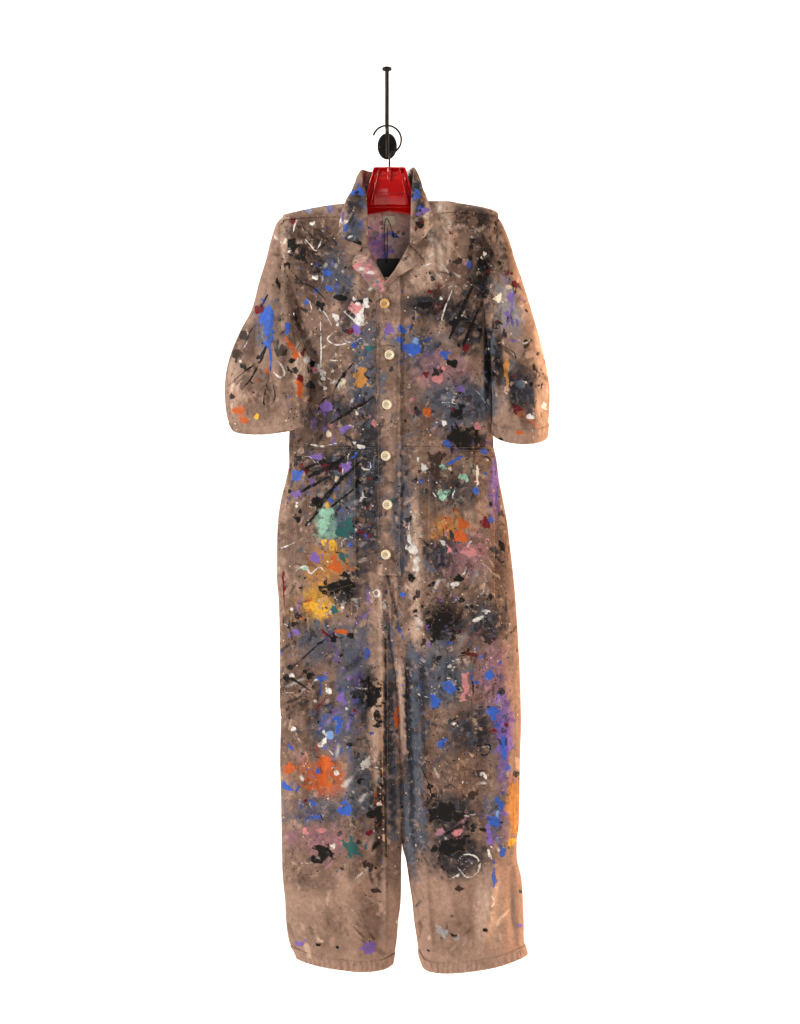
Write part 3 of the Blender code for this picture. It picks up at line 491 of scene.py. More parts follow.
class Canvas:
    """Fabric colour, the topmost paint's colour and how far inside that paint each millimetre lies."""

    def __init__(self, ground):
        self.left, self.bottom = -340, -1560
        self.rows, self.columns = 1530, 680
        self.ground = np.empty((self.rows, self.columns, 3))
        self.ground[:] = ground
        self.paint = self.ground.copy()
        self.cover = np.zeros((self.rows, self.columns))
        self.rough = evened(noise((self.rows, self.columns), (9, 9), 5, 4))
        self.broad = evened(noise((self.rows, self.columns), (60, 46), 6, 5))
        self.dirt = np.ones((self.rows, self.columns))
        self.turn = 0

    def window(self, left, right, bottom, top):
        """The part of the canvas in this box, with its x and z, and fresh roughness for it."""
        first, last = np.clip((int(bottom - self.bottom), int(top - self.bottom) + 2), 0, self.rows)
        rows = slice(first, last)
        first, last = np.clip((int(left - self.left), int(right - self.left) + 2), 0, self.columns)
        columns = slice(first, last)
        z, x = np.mgrid[rows, columns]
        self.turn += 1
        shift = (self.turn * 137) % self.rows, (self.turn * 71) % self.columns
        high, wide = x.shape
        rough = self.rough.take(range(shift[0], shift[0] + high), 0, mode="wrap")
        rough = rough.take(range(shift[1], shift[1] + wide), 1, mode="wrap")
        return (rows, columns), x + self.left, z + self.bottom, rough

    def oval(self, x, z, width, height, tilt, room):
        """The canvas round a leaning oval: distance from its middle, 1 at its edge, and roughness."""
        reach = max(width, height) * room + 4
        part, across, up, rough = self.window(x - reach, x + reach, z - reach, z + reach)
        cosine, sine = math.cos(math.radians(tilt)), math.sin(math.radians(tilt))
        u = ((across - x) * cosine + (up - z) * sine) / (width / 2)
        v = ((up - z) * cosine - (across - x) * sine) / (height / 2)
        return part, np.hypot(u, v), rough

    def lay(self, part, inside, colour, shade=1.0):
        """Puts paint where inside, in millimetres within its edge, is positive."""
        cover = np.clip(0.5 + inside / (2 * EDGE), 0, 1)
        on_top = (cover >= self.cover[part]) | (cover >= 0.5)
        on_top &= cover > 0
        self.paint[part][on_top] = COLOURS[colour] * shade
        self.cover[part] = np.maximum(self.cover[part], cover)

    def blob(self, x, z, width, height, colour, tilt=0, ragged=0.5, shade=1.0):
        """A spot or patch of thick paint with an uneven edge."""
        part, far, rough = self.oval(x, z, width, height, tilt, 0.75)
        far = far * (1 + ragged * (rough - 0.5) * 2)
        self.lay(part, (1 - far) * min(width, height) / 2, colour, shade)

    def dab(self, x, z, width, height, colour, tilt=0, strength=0.7, shade=1.0):
        """A brushed mark, thin enough for some of what is under it to show."""
        part, far, rough = self.oval(x, z, width, height, tilt, 0.7)
        share = strength * ease(0.0, 0.45, 1 - far + 1.0 * (rough - 0.5))
        self.ground[part] = mix(self.ground[part], COLOURS[colour] * shade, share[..., None])
        self.cover[part] = np.minimum(self.cover[part], np.where(share > 0.45, 0.2, 1.0))

    def wash(self, x, z, width, height, colour, strength=0.6):
        """Thin paint soaked into the cloth itself."""
        part, far, rough = self.oval(x, z, width, height, 0, 0.9)
        fade = 1 - ease(0.45, 1.25, far + 0.60 * (self.broad[part] - 0.5) + 0.34 * (rough - 0.5))
        share = (strength * fade * (0.72 + 0.5 * rough))[..., None].clip(0, 1)
        self.ground[part] = mix(self.ground[part], COLOURS[colour], share)

    def stroke(self, points, width, colour, taper=0.5, ragged=0.35):
        """A line of paint that thins towards its ends."""
        line = smooth_line(points, 6)
        low, high = line.min(0) - width - 4, line.max(0) + width + 4
        part, across, up, rough = self.window(low[0], high[0], low[1], high[1])
        if across.size:
            far, share = distance_to(line, across, up)
            wide = width / 2 * (1 - taper * np.abs(2 * share - 1) ** 2) * (1 + ragged * (rough - 0.5) * 2)
            self.lay(part, wide - far, colour)

    def strip(self, points, width, colour):
        """A long brushed mark: short ones end to end."""
        line = smooth_line(points, 4)
        for start, end in zip(line[:-1], line[1:]):
            (x, z), step = (start + end) / 2, end - start
            tilt = math.degrees(math.atan2(-step[0], step[1]))
            self.dab(x, z, width * 1.15, 1.7 * math.hypot(*step), colour, tilt % 180, 0.8)

    def thread(self, random, x, z, length, thickness, colour):
        """A fine dribbled line that curls."""
        heading = random.uniform(0, 2 * math.pi)
        points = [np.array([x, z])]
        for _ in range(4):
            heading += random.uniform(-0.9, 0.9)
            step = length / 4 * random.uniform(0.6, 1.3)
            points.append(points[-1] + step * np.array([math.cos(heading), math.sin(heading)]))
        self.stroke(points, thickness, colour, 0.6)

    def zone(self, x, z, width, height, strength, names, seed):
        """One area in its own few colours: soaked in, brushed over, spattered and dribbled on, by seed."""
        random = np.random.default_rng(seed)
        colours = names.split()
        self.wash(x, z, width, height, colours[0], min(1.0, strength * 1.2))
        area = width * height
        spread = np.array([width, height]) * 0.27
        lean = random.choice((-42, -24, 0, 34))
        for _ in range(int(area * strength / 105)):
            across, up = random.normal(0, 1, 2) * spread
            long = 8 + 34 * random.random() ** 2
            wide = random.uniform(2.4, 7.0) + 7 * random.random() ** 6
            colour = colours[min(int(random.exponential(1.3)), len(colours) - 1)]
            strong, shade = random.uniform(0.35, 1.0), random.uniform(0.6, 1.4)
            self.dab(x + across, z + up, wide, long, colour, lean + random.normal(0, 20), strong, shade)
        for number in range(int(area * strength / 190)):
            across, up = random.normal(0, 1, 2) * spread * 1.15
            speck = 1.2 + 9.0 * random.random() ** 5
            wide, tilt = speck * random.uniform(0.7, 1.6), random.uniform(0, 180)
            if random.random() < 0.55:
                colour = colours[random.integers(len(colours))]
            else:
                colour = SPECKS[number % len(SPECKS)]
            self.blob(x + across, z + up, wide, speck, colour, tilt, 0.7, random.uniform(0.75, 1.2))
        for number in range(int(area * strength / 2600)):
            across, up = random.normal(0, 1, 2) * spread
            colour = SPECKS[(number + seed) % 3]
            self.thread(random, x + across, z + up, random.uniform(24, 60), random.uniform(1.2, 2.2), colour)

    def sample(self, x, z):
        row = z / MM - self.bottom
        column = x / MM - self.left
        layers = {"ground": self.ground, "paint": self.paint, "cover": self.cover, "specks": self.dirt}
        return {name: bilinear(values, row, column) for name, values in layers.items()}


SPECKS = (
    "black", "black", "white", "charcoal", "dark_brown", "black",
    "black", "dark_red", "charcoal", "blue", "cream",
)
# Areas of the front as x, z, width, height, strength and colours, the soaked one first
FRONT_ZONES = (
    (-140, -230, 110, 170, 0.70, "dark_brown black brown charcoal tan white"),
    (-95, -255, 70, 90, 0.60, "slate blue charcoal grey white"),
    (-56, -330, 70, 90, 0.60, "charcoal mauve white pink slate"),
    (-150, -385, 60, 140, 0.45, "brown tan light_tan white charcoal"),
    (-115, -430, 80, 120, 0.50, "brown tan slate white"),
    (-42, -440, 60, 190, 0.80, "slate charcoal brown blue ochre"),
    (-95, -510, 120, 80, 0.65, "charcoal slate violet pink white"),
    (145, -150, 100, 50, 0.70, "dark_brown brown black tan"),
    # Light tan paint on the right chest's fold ridges, partly painted highlight on those ridges
    (97, -170, 46, 90, 0.70, "light_tan tan white"),
    (172, -240, 60, 160, 0.90, "black charcoal dark_brown brown"),
    (112, -240, 80, 90, 0.50, "brown tan dark_brown mauve"),
    (84, -310, 110, 60, 0.80, "charcoal black dark_brown dark_red"),
    (150, -345, 70, 100, 0.80, "charcoal black slate tan"),
    (62, -390, 100, 80, 0.65, "slate charcoal blue tan brown"),
    (105, -430, 100, 80, 0.60, "mauve tan slate pink dark_red"),
    (190, -400, 26, 150, 0.90, "charcoal slate black"),
    (125, -490, 150, 90, 0.90, "slate charcoal grey black mauve"),
    (60, -520, 80, 80, 0.60, "brown slate ochre mauve pink"),
    (150, -560, 90, 50, 0.80, "black charcoal violet"),
    (-100, -600, 180, 90, 0.85, "charcoal black slate violet tan"),
    (-150, -680, 70, 110, 0.55, "brown tan slate white blue"),
    (-75, -690, 100, 130, 0.80, "slate charcoal blue teal grey"),
    (-112, -705, 46, 80, 0.60, "mint teal white yellow"),
    (-38, -660, 60, 400, 0.90, "charcoal slate black grey brown"),
    (-108, -790, 90, 90, 0.65, "ochre yellow orange teal mint slate"),
    (-130, -860, 80, 60, 0.70, "yellow ochre orange tan"),
    (-75, -835, 60, 60, 0.80, "charcoal black white"),
    (-165, -900, 60, 120, 0.65, "brown charcoal violet tan"),
    (-105, -935, 130, 90, 0.70, "slate brown violet charcoal grey"),
    (28, -700, 40, 320, 0.75, "slate charcoal brown tan"),
    (54, -800, 24, 300, 0.75, "light_tan white tan"),
    (110, -640, 130, 90, 0.75, "charcoal brown teal black mint"),
    (110, -720, 90, 60, 0.60, "ochre brown orange tan"),
    (102, -770, 80, 90, 0.85, "charcoal black slate mauve"),
    (155, -770, 70, 90, 0.60, "mauve brown pink tan"),
    (202, -640, 30, 130, 0.80, "violet blue mauve"),
    (210, -770, 50, 200, 0.60, "brown tan light_tan charcoal"),
    (130, -845, 140, 90, 0.60, "brown tan white charcoal grey"),
    (105, -895, 80, 90, 0.90, "black charcoal dark_brown violet"),
    (185, -890, 80, 90, 0.75, "charcoal slate brown"),
    (-20, -900, 60, 90, 0.60, "slate brown tan violet"),
    (-61, -990, 70, 150, 0.80, "slate violet charcoal grey blue"),
    (-150, -1020, 90, 120, 0.80, "brown black charcoal tan white"),
    (-28, -1035, 50, 120, 0.90, "black charcoal slate"),
    (-100, -1090, 120, 110, 0.70, "slate blue violet white charcoal"),
    (-165, -1120, 60, 130, 0.60, "brown tan mauve white orange"),
    (-115, -1170, 80, 90, 0.65, "orange ochre brown tan"),
    (-45, -1190, 60, 180, 0.75, "slate charcoal grey white"),
    (-130, -1235, 120, 70, 0.60, "slate blue brown tan"),
    (-115, -1295, 130, 80, 0.60, "mauve brown pink slate tan"),
    (-14, -1230, 26, 260, 0.80, "black brown charcoal tan orange"),
    (-22, -1100, 26, 130, 0.60, "light_tan tan brown"),
    (100, -985, 130, 130, 0.90, "slate charcoal black grey"),
    (44, -1090, 56, 260, 0.85, "charcoal slate blue black"),
    (185, -1000, 70, 150, 0.70, "mauve brown blue charcoal"),
    (150, -1090, 120, 110, 0.75, "charcoal slate brown tan black"),
    (120, -1165, 120, 90, 0.60, "brown tan charcoal white black"),
    (215, -1110, 34, 180, 0.80, "violet slate blue"),
    (115, -1240, 130, 80, 0.85, "charcoal black slate mauve"),
    (200, -1245, 50, 90, 0.70, "slate blue violet"),
    (44, -1290, 34, 170, 0.90, "slate charcoal black"),
    (130, -1310, 120, 90, 0.80, "charcoal black dark_brown slate white"),
    (232, -1230, 28, 120, 0.75, "ochre yellow tan"),
    (-222, -340, 50, 110, 0.60, "slate blue brown charcoal"),
    (-268, -390, 60, 130, 0.60, "brown dark_brown tan charcoal"),
    (-240, -470, 100, 110, 0.55, "brown tan charcoal orange"),
    (212, -230, 36, 110, 0.65, "brown dark_brown light_tan dark_red black"),
    (228, -320, 60, 110, 0.65, "grey violet light_tan charcoal brown"),
    (248, -440, 76, 90, 0.80, "charcoal brown slate tan"),
    (262, -505, 60, 60, 0.50, "brown tan orange"),
    # Light tan paint on the right chest's fold ridges, partly painted highlight on those ridges
    (97, -180, 50, 110, 0.95, "light_tan tan white"),
    (70, -250, 50, 60, 0.70, "light_tan tan brown"),
    (50, -840, 18, 260, 0.70, "light_tan tan"),
    # Painted highlight: light tan on the left leg beside its inner edge, where it faces the light
    (-24, -1100, 18, 150, 0.80, "light_tan tan"),
    (-156, -400, 30, 120, 0.50, "light_tan tan"),
    # Painted highlight: light tan down the right sleeve's outer edge, where the warm light falls
    (285, -420, 30, 240, 0.80, "light_tan tan"),
    (262, -260, 40, 160, 0.55, "light_tan tan brown"),
    # Painted shade: dark paint in the recesses under the right sleeve's fold and between that sleeve and the
    # torso
    (246, -470, 44, 50, 0.90, "charcoal brown slate"),
    (206, -400, 16, 120, 0.85, "black charcoal"),
    (184, -390, 12, 180, 0.85, "black charcoal slate"),
    (-280, -440, 40, 120, 0.45, "light_tan tan brown"),
    # Painted highlight: a light tan strip along the ridge at the left armhole seam
    (-190, -250, 20, 200, 0.55, "light_tan tan"),
    # Painted light and shade: brown and light tan brushed over the lower legs to shade their folds
    (-120, -1450, 110, 90, 0.30, "brown tan light_tan"),
    (-40, -1440, 60, 110, 0.45, "brown tan"),
    (110, -1460, 120, 80, 0.28, "brown tan light_tan"),
    (190, -1420, 60, 120, 0.45, "light_tan tan"),
)
# Single marks that stand out, as x, z, width, height and lean
FRONT_BLOBS = {
    "blue": (
        (-220, -330, 17, 54, 12), (-216, -376, 14, 20), (-183, -349, 9, 20), (-105, -131, 15, 15),
        (-107, -249, 13, 10),
        (-104, -278, 13, 9), (-169, -620, 20, 20), (30, -354, 15, 14), (22, -371, 12, 11), (44, -389, 27, 22),
        (104, -397, 16, 12), (109, -559, 17, 12), (180, -575, 18, 9), (164, -651, 14, 11),
        (191, -702, 10, 16),
        (28, -839, 9, 10), (-122, -993, 14, 10), (-37, -953, 8, 18), (-89, -1080, 13, 28),
        (-182, -1195, 17, 14),
        (-72, -1232, 22, 22), (117, -1013, 18, 22), (86, -1031, 16, 26), (189, -986, 11, 22),
        (195, -1052, 16, 20),
        (215, -1118, 9, 46, 8), (210, -1224, 15, 20), (199, -1255, 21, 20), (196, -1357, 8, 40),
        (212, -1310, 9, 16),
    ),
    "pale_blue": ((-141, -132, 11, 9), (52, -372, 9, 12), (-104, -1094, 10, 12), (203, -1240, 8, 12)),
    "violet": (
        (-54, -351, 14, 12), (-80, -534, 18, 12), (-75, -604, 17, 13), (-136, -773, 17, 14),
        (-131, -585, 18, 9),
        (-111, -495, 20, 15), (5, -351, 18, 16), (137, -462, 16, 12), (220, -323, 11, 14),
        (226, -290, 10, 16),
        (225, -1111, 11, 30), (188, -1280, 10, 26, 10), (-158, -1481, 17, 10, 24), (-35, -1483, 26, 17),
        (246, -1449, 12, 9), (199, -632, 8, 50),
    ),
    "white": (
        (-139, -157, 9, 7), (-50, -320, 17, 38, -24), (-41, -308, 22, 12, 30), (-92, -332, 13, 16),
        (-117, -434, 11, 12),
        (263, -513, 14, 8), (287, -493, 9, 10), (41, -737, 9, 22), (47, -757, 16, 15), (54, -784, 9, 20),
        (171, -882, 22, 7, 30), (-94, -1166, 8, 13), (124, -820, 18, 10), (190, -1319, 5, 18, 20),
        (166, -622, 5, 24),
    ),
    "black": (
        (-85, -293, 15, 12), (-122, -308, 13, 13), (133, -508, 16, 26), (122, -415, 15, 13),
        (91, -428, 17, 11),
        (142, -550, 40, 32), (141, -561, 42, 13), (-100, -826, 32, 20), (-72, -822, 22, 30),
        (133, -812, 13, 13),
        (100, -888, 40, 46), (92, -916, 22, 16), (-28, -1024, 27, 58), (-18, -1062, 18, 30),
        (-14, -1243, 17, 36),
        (100, -1238, 44, 28), (130, -1244, 30, 20), (237, -1170, 13, 13), (122, -1300, 50, 24, 14),
        (104, -1310, 20, 22), (-117, -1316, 30, 24), (-128, -1328, 18, 12), (74, -306, 22, 14),
        (-172, -200, 14, 22),
        (-165, -218, 20, 12), (-90, -1485, 7, 5), (127, -1465, 6, 5), (180, -1452, 6, 6), (76, -1493, 6, 5),
    ),
    "dark_brown": (
        (-265, -361, 18, 18), (-278, -398, 13, 16), (-192, -390, 15, 18), (-285, -475, 19, 12),
        (156, -1205, 19, 14),
        (134, -1378, 24, 8), (-22, -1383, 20, 12), (-31, -1336, 20, 12), (255, -376, 15, 18),
        (91, -588, 26, 22),
        (88, -612, 20, 26), (104, -1457, 14, 8),
    ),
    "dark_red": (
        (-237, -316, 15, 15), (-159, -442, 12, 14), (-68, -358, 12, 11), (79, -283, 12, 9),
        (144, -386, 13, 20),
        (237, -499, 14, 12), (220, -249, 12, 10), (237, -271, 12, 11), (-112, -605, 14, 11),
        (180, -710, 11, 19),
        (156, -949, 22, 10), (-35, -1277, 11, 12), (-194, -820, 6, 30),
    ),
    "orange": (
        (-168, -400, 11, 10), (-159, -464, 12, 30), (-272, -502, 18, 14), (-262, -520, 17, 9),
        (72, -504, 15, 12),
        (140, -712, 22, 20), (138, -734, 20, 18), (239, -541, 12, 7), (-81, -907, 18, 9),
        (-112, -1152, 26, 24),
        (-118, -1182, 24, 26), (-176, -1160, 18, 20), (18, -1072, 7, 40), (-94, -785, 16, 22),
    ),
    "ochre": (
        (-49, -440, 20, 44), (100, -712, 13, 12), (220, -430, 7, 40), (232, -1215, 14, 34),
        (234, -1255, 12, 30),
    ),
    "yellow": ((-136, -858, 24, 18), (-118, -872, 22, 14), (-101, -748, 12, 25), (-237, -512, 7, 8)),
    "mint": ((-112, -690, 22, 20), (-116, -714, 18, 22), (138, -623, 17, 12), (-150, -790, 20, 9)),
    "teal": (
        (-30, -387, 14, 12), (-80, -719, 22, 34), (-81, -769, 17, 17), (-64, -1301, 34, 23),
        (-98, -866, 12, 22),
    ),
    "pink": (
        (104, -423, 13, 10), (91, -443, 24, 16), (168, -532, 16, 11), (154, -759, 21, 18),
        (-150, -1276, 17, 9),
        (-117, -1270, 15, 9), (130, -1276, 15, 11), (144, -1000, 13, 40), (-56, -312, 15, 14),
    ),
    "grey": ((104, -1457, 26, 14), (126, -1470, 12, 6)),
}
# Strokes as (width, points)
FRONT_STROKES = {
    "black": (
        (6, (-219, -288), (-226, -300), (-232, -310)), (7, (-222, -384), (-229, -402), (-233, -414)),
        (3, (-233, -412), (-248, -440), (-268, -466)), (3, (-233, -410), (-262, -430), (-294, -455)),
        (3, (-214, -420), (-218, -445), (-226, -486), (-214, -492), (-205, -475), (-212, -440)),
        (2.4, (-280, -400), (-262, -380), (-250, -352), (-238, -340)),
        (6, (-24, -475), (-44, -489), (-74, -506), (-106, -526)),
        (9, (-73, -582), (-101, -602), (-143, -622)), (7, (-106, -622), (-130, -634), (-158, -650)),
        (8, (-49, -595), (-84, -627), (-108, -655), (-131, -691), (-150, -712)),
        (5, (-61, -645), (-84, -663), (-103, -678)),
        (7, (-118, -826), (-94, -818), (-70, -816), (-72, -840), (-75, -856)),
        (4, (-96, -908), (-130, -934), (-169, -969)),
        (4, (-190, -990), (-165, -999), (-139, -1017)), (8, (158, -270), (142, -306), (115, -368)),
        (6, (170, -310), (152, -352), (140, -380)), (4, (189, -368), (190, -420), (188, -476)),
        (6, (104, -1279), (128, -1266), (149, -1256)),
        (2.6, (170, -1124), (173, -1133), (182, -1134), (190, -1126), (187, -1116), (178, -1114),
            (170, -1122)),
        (2.6, (104, -1340), (118, -1352), (130, -1342), (142, -1356), (156, -1348)),
        (2.4, (-146, -1314), (-132, -1300), (-112, -1304), (-100, -1318), (-112, -1336), (-134, -1340)),
        (2.4, (-180, -238), (-160, -262), (-134, -276), (-110, -300)),
        (3, (60, -1150), (74, -1180), (84, -1216)),
        (4, (-60, -412), (-84, -440), (-100, -470)), (5, (-100, -596), (-132, -600), (-160, -612)),
        (3, (30, -960), (36, -1000), (34, -1050)), (3, (150, -980), (158, -1010), (154, -1050)),
    ),
    "white": (
        (2.4, (-165, -149), (-170, -160), (-172, -172)),
        (2.4, (-150, -186), (-140, -197), (-130, -207), (-118, -184)),
        (2.6, (-92, -354), (-104, -362), (-109, -371), (-92, -380), (-68, -376)),
        (2.2, (-122, -336), (-121, -390), (-122, -437)),
        (2.2, (-108, -408), (-86, -410)),
        (3, (-207, -431), (-196, -441), (-187, -436), (-192, -420), (-201, -410)),
        (2.6, (-202, -754), (-186, -750), (-170, -743)),
        (3, (-26, -834), (-20, -843), (-13, -837), (-18, -830), (-26, -834)),
        (2.6, (-168, -796), (-150, -786), (-140, -800), (-124, -788), (-112, -800)),
        (2.8, (-66, -1366), (-52, -1354), (-35, -1340)),
        (2.8, (128, -1336), (134, -1320), (150, -1315), (166, -1322), (170, -1338), (162, -1352),
            (146, -1357), (128, -1336)),
        (2.4, (-80, -318), (-66, -330), (-50, -344), (-36, -340)),
        (2.4, (-152, -560), (-120, -566), (-90, -560)),
        (2.4, (120, -280), (104, -320), (96, -360)), (2.4, (240, -370), (252, -378), (262, -372)),
    ),
    "blue": ((6, (109, -600), (122, -594), (138, -584)), (4, (-216, -376), (-213, -400), (-212, -430))),
    "orange": ((7, (-186, -367), (-174, -384), (-160, -405)),),
    "dark_red": ((4, (-108, -1024), (-120, -1038), (-136, -1056)), (4, (-195, -804), (-194, -869))),
    "violet": ((6, (199, -600), (200, -667)), (4, (232, -284), (226, -330), (216, -350))),
    "ochre": (
        (6, (220, -402), (221, -456)), (9, (232, -1190), (233, -1276)),
        # Painted highlight: a thin warm line down the left leg's inner edge, where the light catches it
        (1.6, (-8, -900), (-9, -1100), (-6, -1300)),
    ),
}
# The strips of light and shade where the legs meet, brushed on as (width, points)
LEG_STRIPS = {
    "tan": (
        (22, (-20, -800), (-22, -900), (-18, -1000), (-16, -1120)),
        (16, (22, -962), (25, -1020), (27, -1080), (26, -1150)),
        (10, (12, -800), (17, -840), (20, -880)),
    ),
    "light_tan": ((8, (-12, -780), (-13, -900), (-12, -1060)), (6, (22, -970), (26, -1040), (27, -1110))),
    "slate": (
        (20, (9, -975), (7, -1040), (9, -1130), (12, -1280)),
        (24, (46, -930), (50, -1060), (54, -1180), (64, -1300)),
        (14, (3, -890), (8, -925), (8, -970)), (16, (30, -1190), (36, -1260), (46, -1340)),
    ),
    "charcoal": (
        (14, (6, -1000), (4, -1100), (8, -1200), (12, -1270)), (10, (40, -950), (42, -1080), (48, -1280)),
        (8, (62, -960), (66, -1050), (70, -1180)), (6, (2, -800), (10, -846), (20, -880)),
    ),
    "black": (
        (5, (-3, -905), (-3, -960), (-4, -1060), (-4, -1160), (-2, -1300)),
        (5, (36, -960), (36, -1060), (40, -1150)),
    ),
}
COLLAR_ZONES = (
    (-56, -115, 40, 70, 0.75, "charcoal blue slate brown"),
    (-66, -165, 44, 60, 0.80, "slate charcoal blue violet white"),
    (-74, -204, 66, 26, 0.90, "charcoal black slate"),
    (54, -85, 34, 70, 0.80, "charcoal slate blue brown"),
    (60, -140, 34, 60, 0.80, "charcoal black violet dark_red slate"),
    (52, -200, 44, 50, 0.70, "brown dark_red tan dark_brown"),
    (-36, -245, 44, 56, 0.85, "mauve pink grey charcoal white"),
    (-52, -226, 30, 24, 0.60, "light_tan tan pink"),
    (30, -240, 34, 50, 0.80, "light_tan tan brown orange"),
    # Painted highlights: narrow light strips along the collar's outer edges, the right one warm
    (74, -150, 10, 110, 0.90, "light_tan ochre tan"),
    (-80, -130, 12, 90, 0.70, "light_tan tan"),
)
COLLAR_BLOBS = {
    "blue": ((-56, -99, 21, 14), (54, -105, 14, 15), (-74, -166, 10, 12), (60, -128, 9, 9)),
    "black": ((-54, -99, 7, 6), (58, -160, 17, 12), (-62, -200, 30, 12), (-86, -196, 18, 8)),
    "violet": ((-81, -151, 8, 18), (72, -135, 12, 9)),
    "white": ((-68, -184, 12, 5, 30), (-60, -216, 9, 5)),
    "pink": ((-54, -236, 12, 9), (-35, -242, 8, 26, -30)),
    "dark_red": ((53, -168, 8, 10), (64, -156, 7, 7), (-42, -76, 6, 22)),
}
INSIDE_ZONES = (
    (-24, -190, 60, 120, 0.75, "mauve pink violet grey"),
    (-10, -190, 50, 50, 0.60, "violet mauve blue pink"),
    (34, -190, 46, 110, 0.60, "grey tan cream pink"),
)
INSIDE_BLOBS = {"blue": ((14, -171, 12, 9),), "pink": ((43, -190, 12, 10),), "white": ((44, -160, 5, 36),)}


def paint_zones(canvas, zones, blobs, strokes, seed):
    for number, zone in enumerate(zones):
        canvas.zone(*zone, seed + number)
    for colour, places in blobs.items():
        for x, z, width, height, *tilt in places:
            canvas.blob(x, z, width, height, colour, *tilt)
    for colour, lines in strokes.items():
        for width, *points in lines:
            canvas.stroke(points, width, colour)
    return canvas


def paint_front():
    """The worn front: filthiest in the middle and nearly clean at the cuffs of the legs, and lighter along
    its right-hand edge, which is painted highlight.
    """
    canvas = Canvas(COLOURS["tan"])
    z, x = np.mgrid[0 : canvas.rows, 0 : canvas.columns]
    z = z + canvas.bottom
    x = x + canvas.left
    edge = 26 * (canvas.broad - 0.5)
    worn = ease(-1395, -1325, z + 2 * edge)
    above = ease(-590, -560, z)
    worn = worn * (1 - 0.55 * ease(-186, -204, x + edge * 0.3) * above)
    worn = worn * (1 - 0.45 * ease(196, 214, x) * above)
    # Painted highlight: less brown along the right-hand edge of the legs and the right sleeve, where the warm
    # light falls
    worn = worn * (1 - 0.60 * ease(218, 236, x + edge))
    patches = ease(0.35, 0.65, canvas.broad)
    rubbed = 0.30 * ease(0.5, 0.9, canvas.rough)
    for colour, share in (("brown", 0.08 + 0.50 * patches), ("dark_brown", rubbed)):
        canvas.ground = mix(canvas.ground, COLOURS[colour], (worn * share)[..., None])
    canvas.dirt = 0.10 + 0.90 * worn
    paint_zones(canvas, FRONT_ZONES, {}, {}, 100)
    for colour, strips in LEG_STRIPS.items():
        for width, *points in strips:
            canvas.strip(points, width, colour)
    return paint_zones(canvas, (), FRONT_BLOBS, FRONT_STROKES, 100)


def paint_back():
    """The unseen back carries the same sort of paint, thinner and thrown by seed."""
    canvas = Canvas(mix(COLOURS["tan"], COLOURS["brown"], 0.3))
    random = np.random.default_rng(301)
    palettes = (
        "brown tan charcoal white", "slate charcoal blue tan", "tan light_tan brown", "charcoal black slate",
        "mauve pink brown tan", "brown dark_brown orange", "slate violet tan white", "tan brown mint teal",
    )
    zones = []
    for number in range(64):
        x, z = random.uniform(-300, 300), random.uniform(-1340, -130)
        width, height = random.uniform(50, 120, 2)
        zones.append((x, z, width, height, random.uniform(0.35, 0.7), palettes[number % len(palettes)]))
    return paint_zones(canvas, zones, {}, {}, 310)


def paint_canvases():
    dusty = Canvas(mix(COLOURS["tan"], COLOURS["brown"], 0.3))
    collar = paint_zones(dusty, COLLAR_ZONES, COLLAR_BLOBS, {}, 400)
    rosy = Canvas(mix(COLOURS["light_tan"], COLOURS["pink"], 0.45))
    inside = paint_zones(rosy, INSIDE_ZONES, INSIDE_BLOBS, {}, 420)
    # The lining is made paler than the face: painted light that lifts the shade the collar casts into the
    # open neck
    inside.ground = np.minimum(inside.ground * 2.1, 0.9)
    inside.dirt *= 0.25
    return {"front": paint_front(), "back": paint_back(), "inside": inside, "collar": collar}


def widened(share, values):
    """A share for each point, shaped to suit values that may be colours."""
    return share[:, None] if values.ndim > 1 else share


def sample_paint(points, side):
    """The paint at each point of a piece. Where it turns away to a seam, the canvas carries on outwards."""
    x, y, z = points.T
    canvas = CANVASES["front"]
    if side == "inside":
        canvas = CANVASES["inside"]
    elif side == "back":
        canvas = CANVASES["back"]
        x = x + 0.7 * np.sign(x - CENTRE_X) * np.maximum(0, HANG_Y + 0.014 - y)
    elif side == "yoke":
        front = CANVASES["front"].sample(x, np.minimum(z, -0.100))
        behind = CANVASES["back"].sample(x, z)
        share = ease(-0.008, 0.008, y - HANG_Y)
        return {key: mix(front[key], behind[key], widened(share, front[key])) for key in front}
    elif side == "collar":
        canvas = CANVASES["collar"]
        z = z - 0.9 * np.maximum(0, y - HANG_Y)
    elif side.startswith("sleeve"):
        middle = np.interp(z, (-0.53, -0.32), (y.min() * 0.5 + y.max() * 0.5, HANG_Y))
        turned = y > middle
        front = CANVASES["front"].sample(x, z)
        behind = CANVASES["back"].sample(x, z)
        return {key: np.where(widened(turned, front[key]), behind[key], front[key]) for key in front}
    else:
        x = x + 0.8 * np.sign(x - CENTRE_X) * np.maximum(0, y - HANG_Y + 0.014) * (z > CROTCH_Z)
    return canvas.sample(x, z)


# Garment surfaces


FRONT_RELIEF = front_relief()
BACK_RELIEF = back_relief()


def left_side(z):
    """The torso's and trousers' left outline."""
    return np.where(z > WAIST_Z, along(LEFT_ARMHOLE, z), along(LEFT_SIDE, z))


def right_side(z):
    return np.where(z > WAIST_Z, along(RIGHT_ARMHOLE, z), along(RIGHT_SIDE, z))


def round_share(across):
    """The height of a flattened oval at this share (-1 to 1) of the way across it."""
    return np.maximum(0.0, 1 - np.abs(across) ** 2.4) ** 0.55


def top_of(x):
    """Height and y shift of the garment's top line: the shoulders, and the neck seam between them."""
    height = along(SHOULDER_TOP, x)
    inside = 1 - ease(0.048, 0.062, np.abs(x - CENTRE_X))
    shift = inside * (0.031 - 9.0 * (x - CENTRE_X) ** 2)
    return mix(height, -0.103, inside), shift


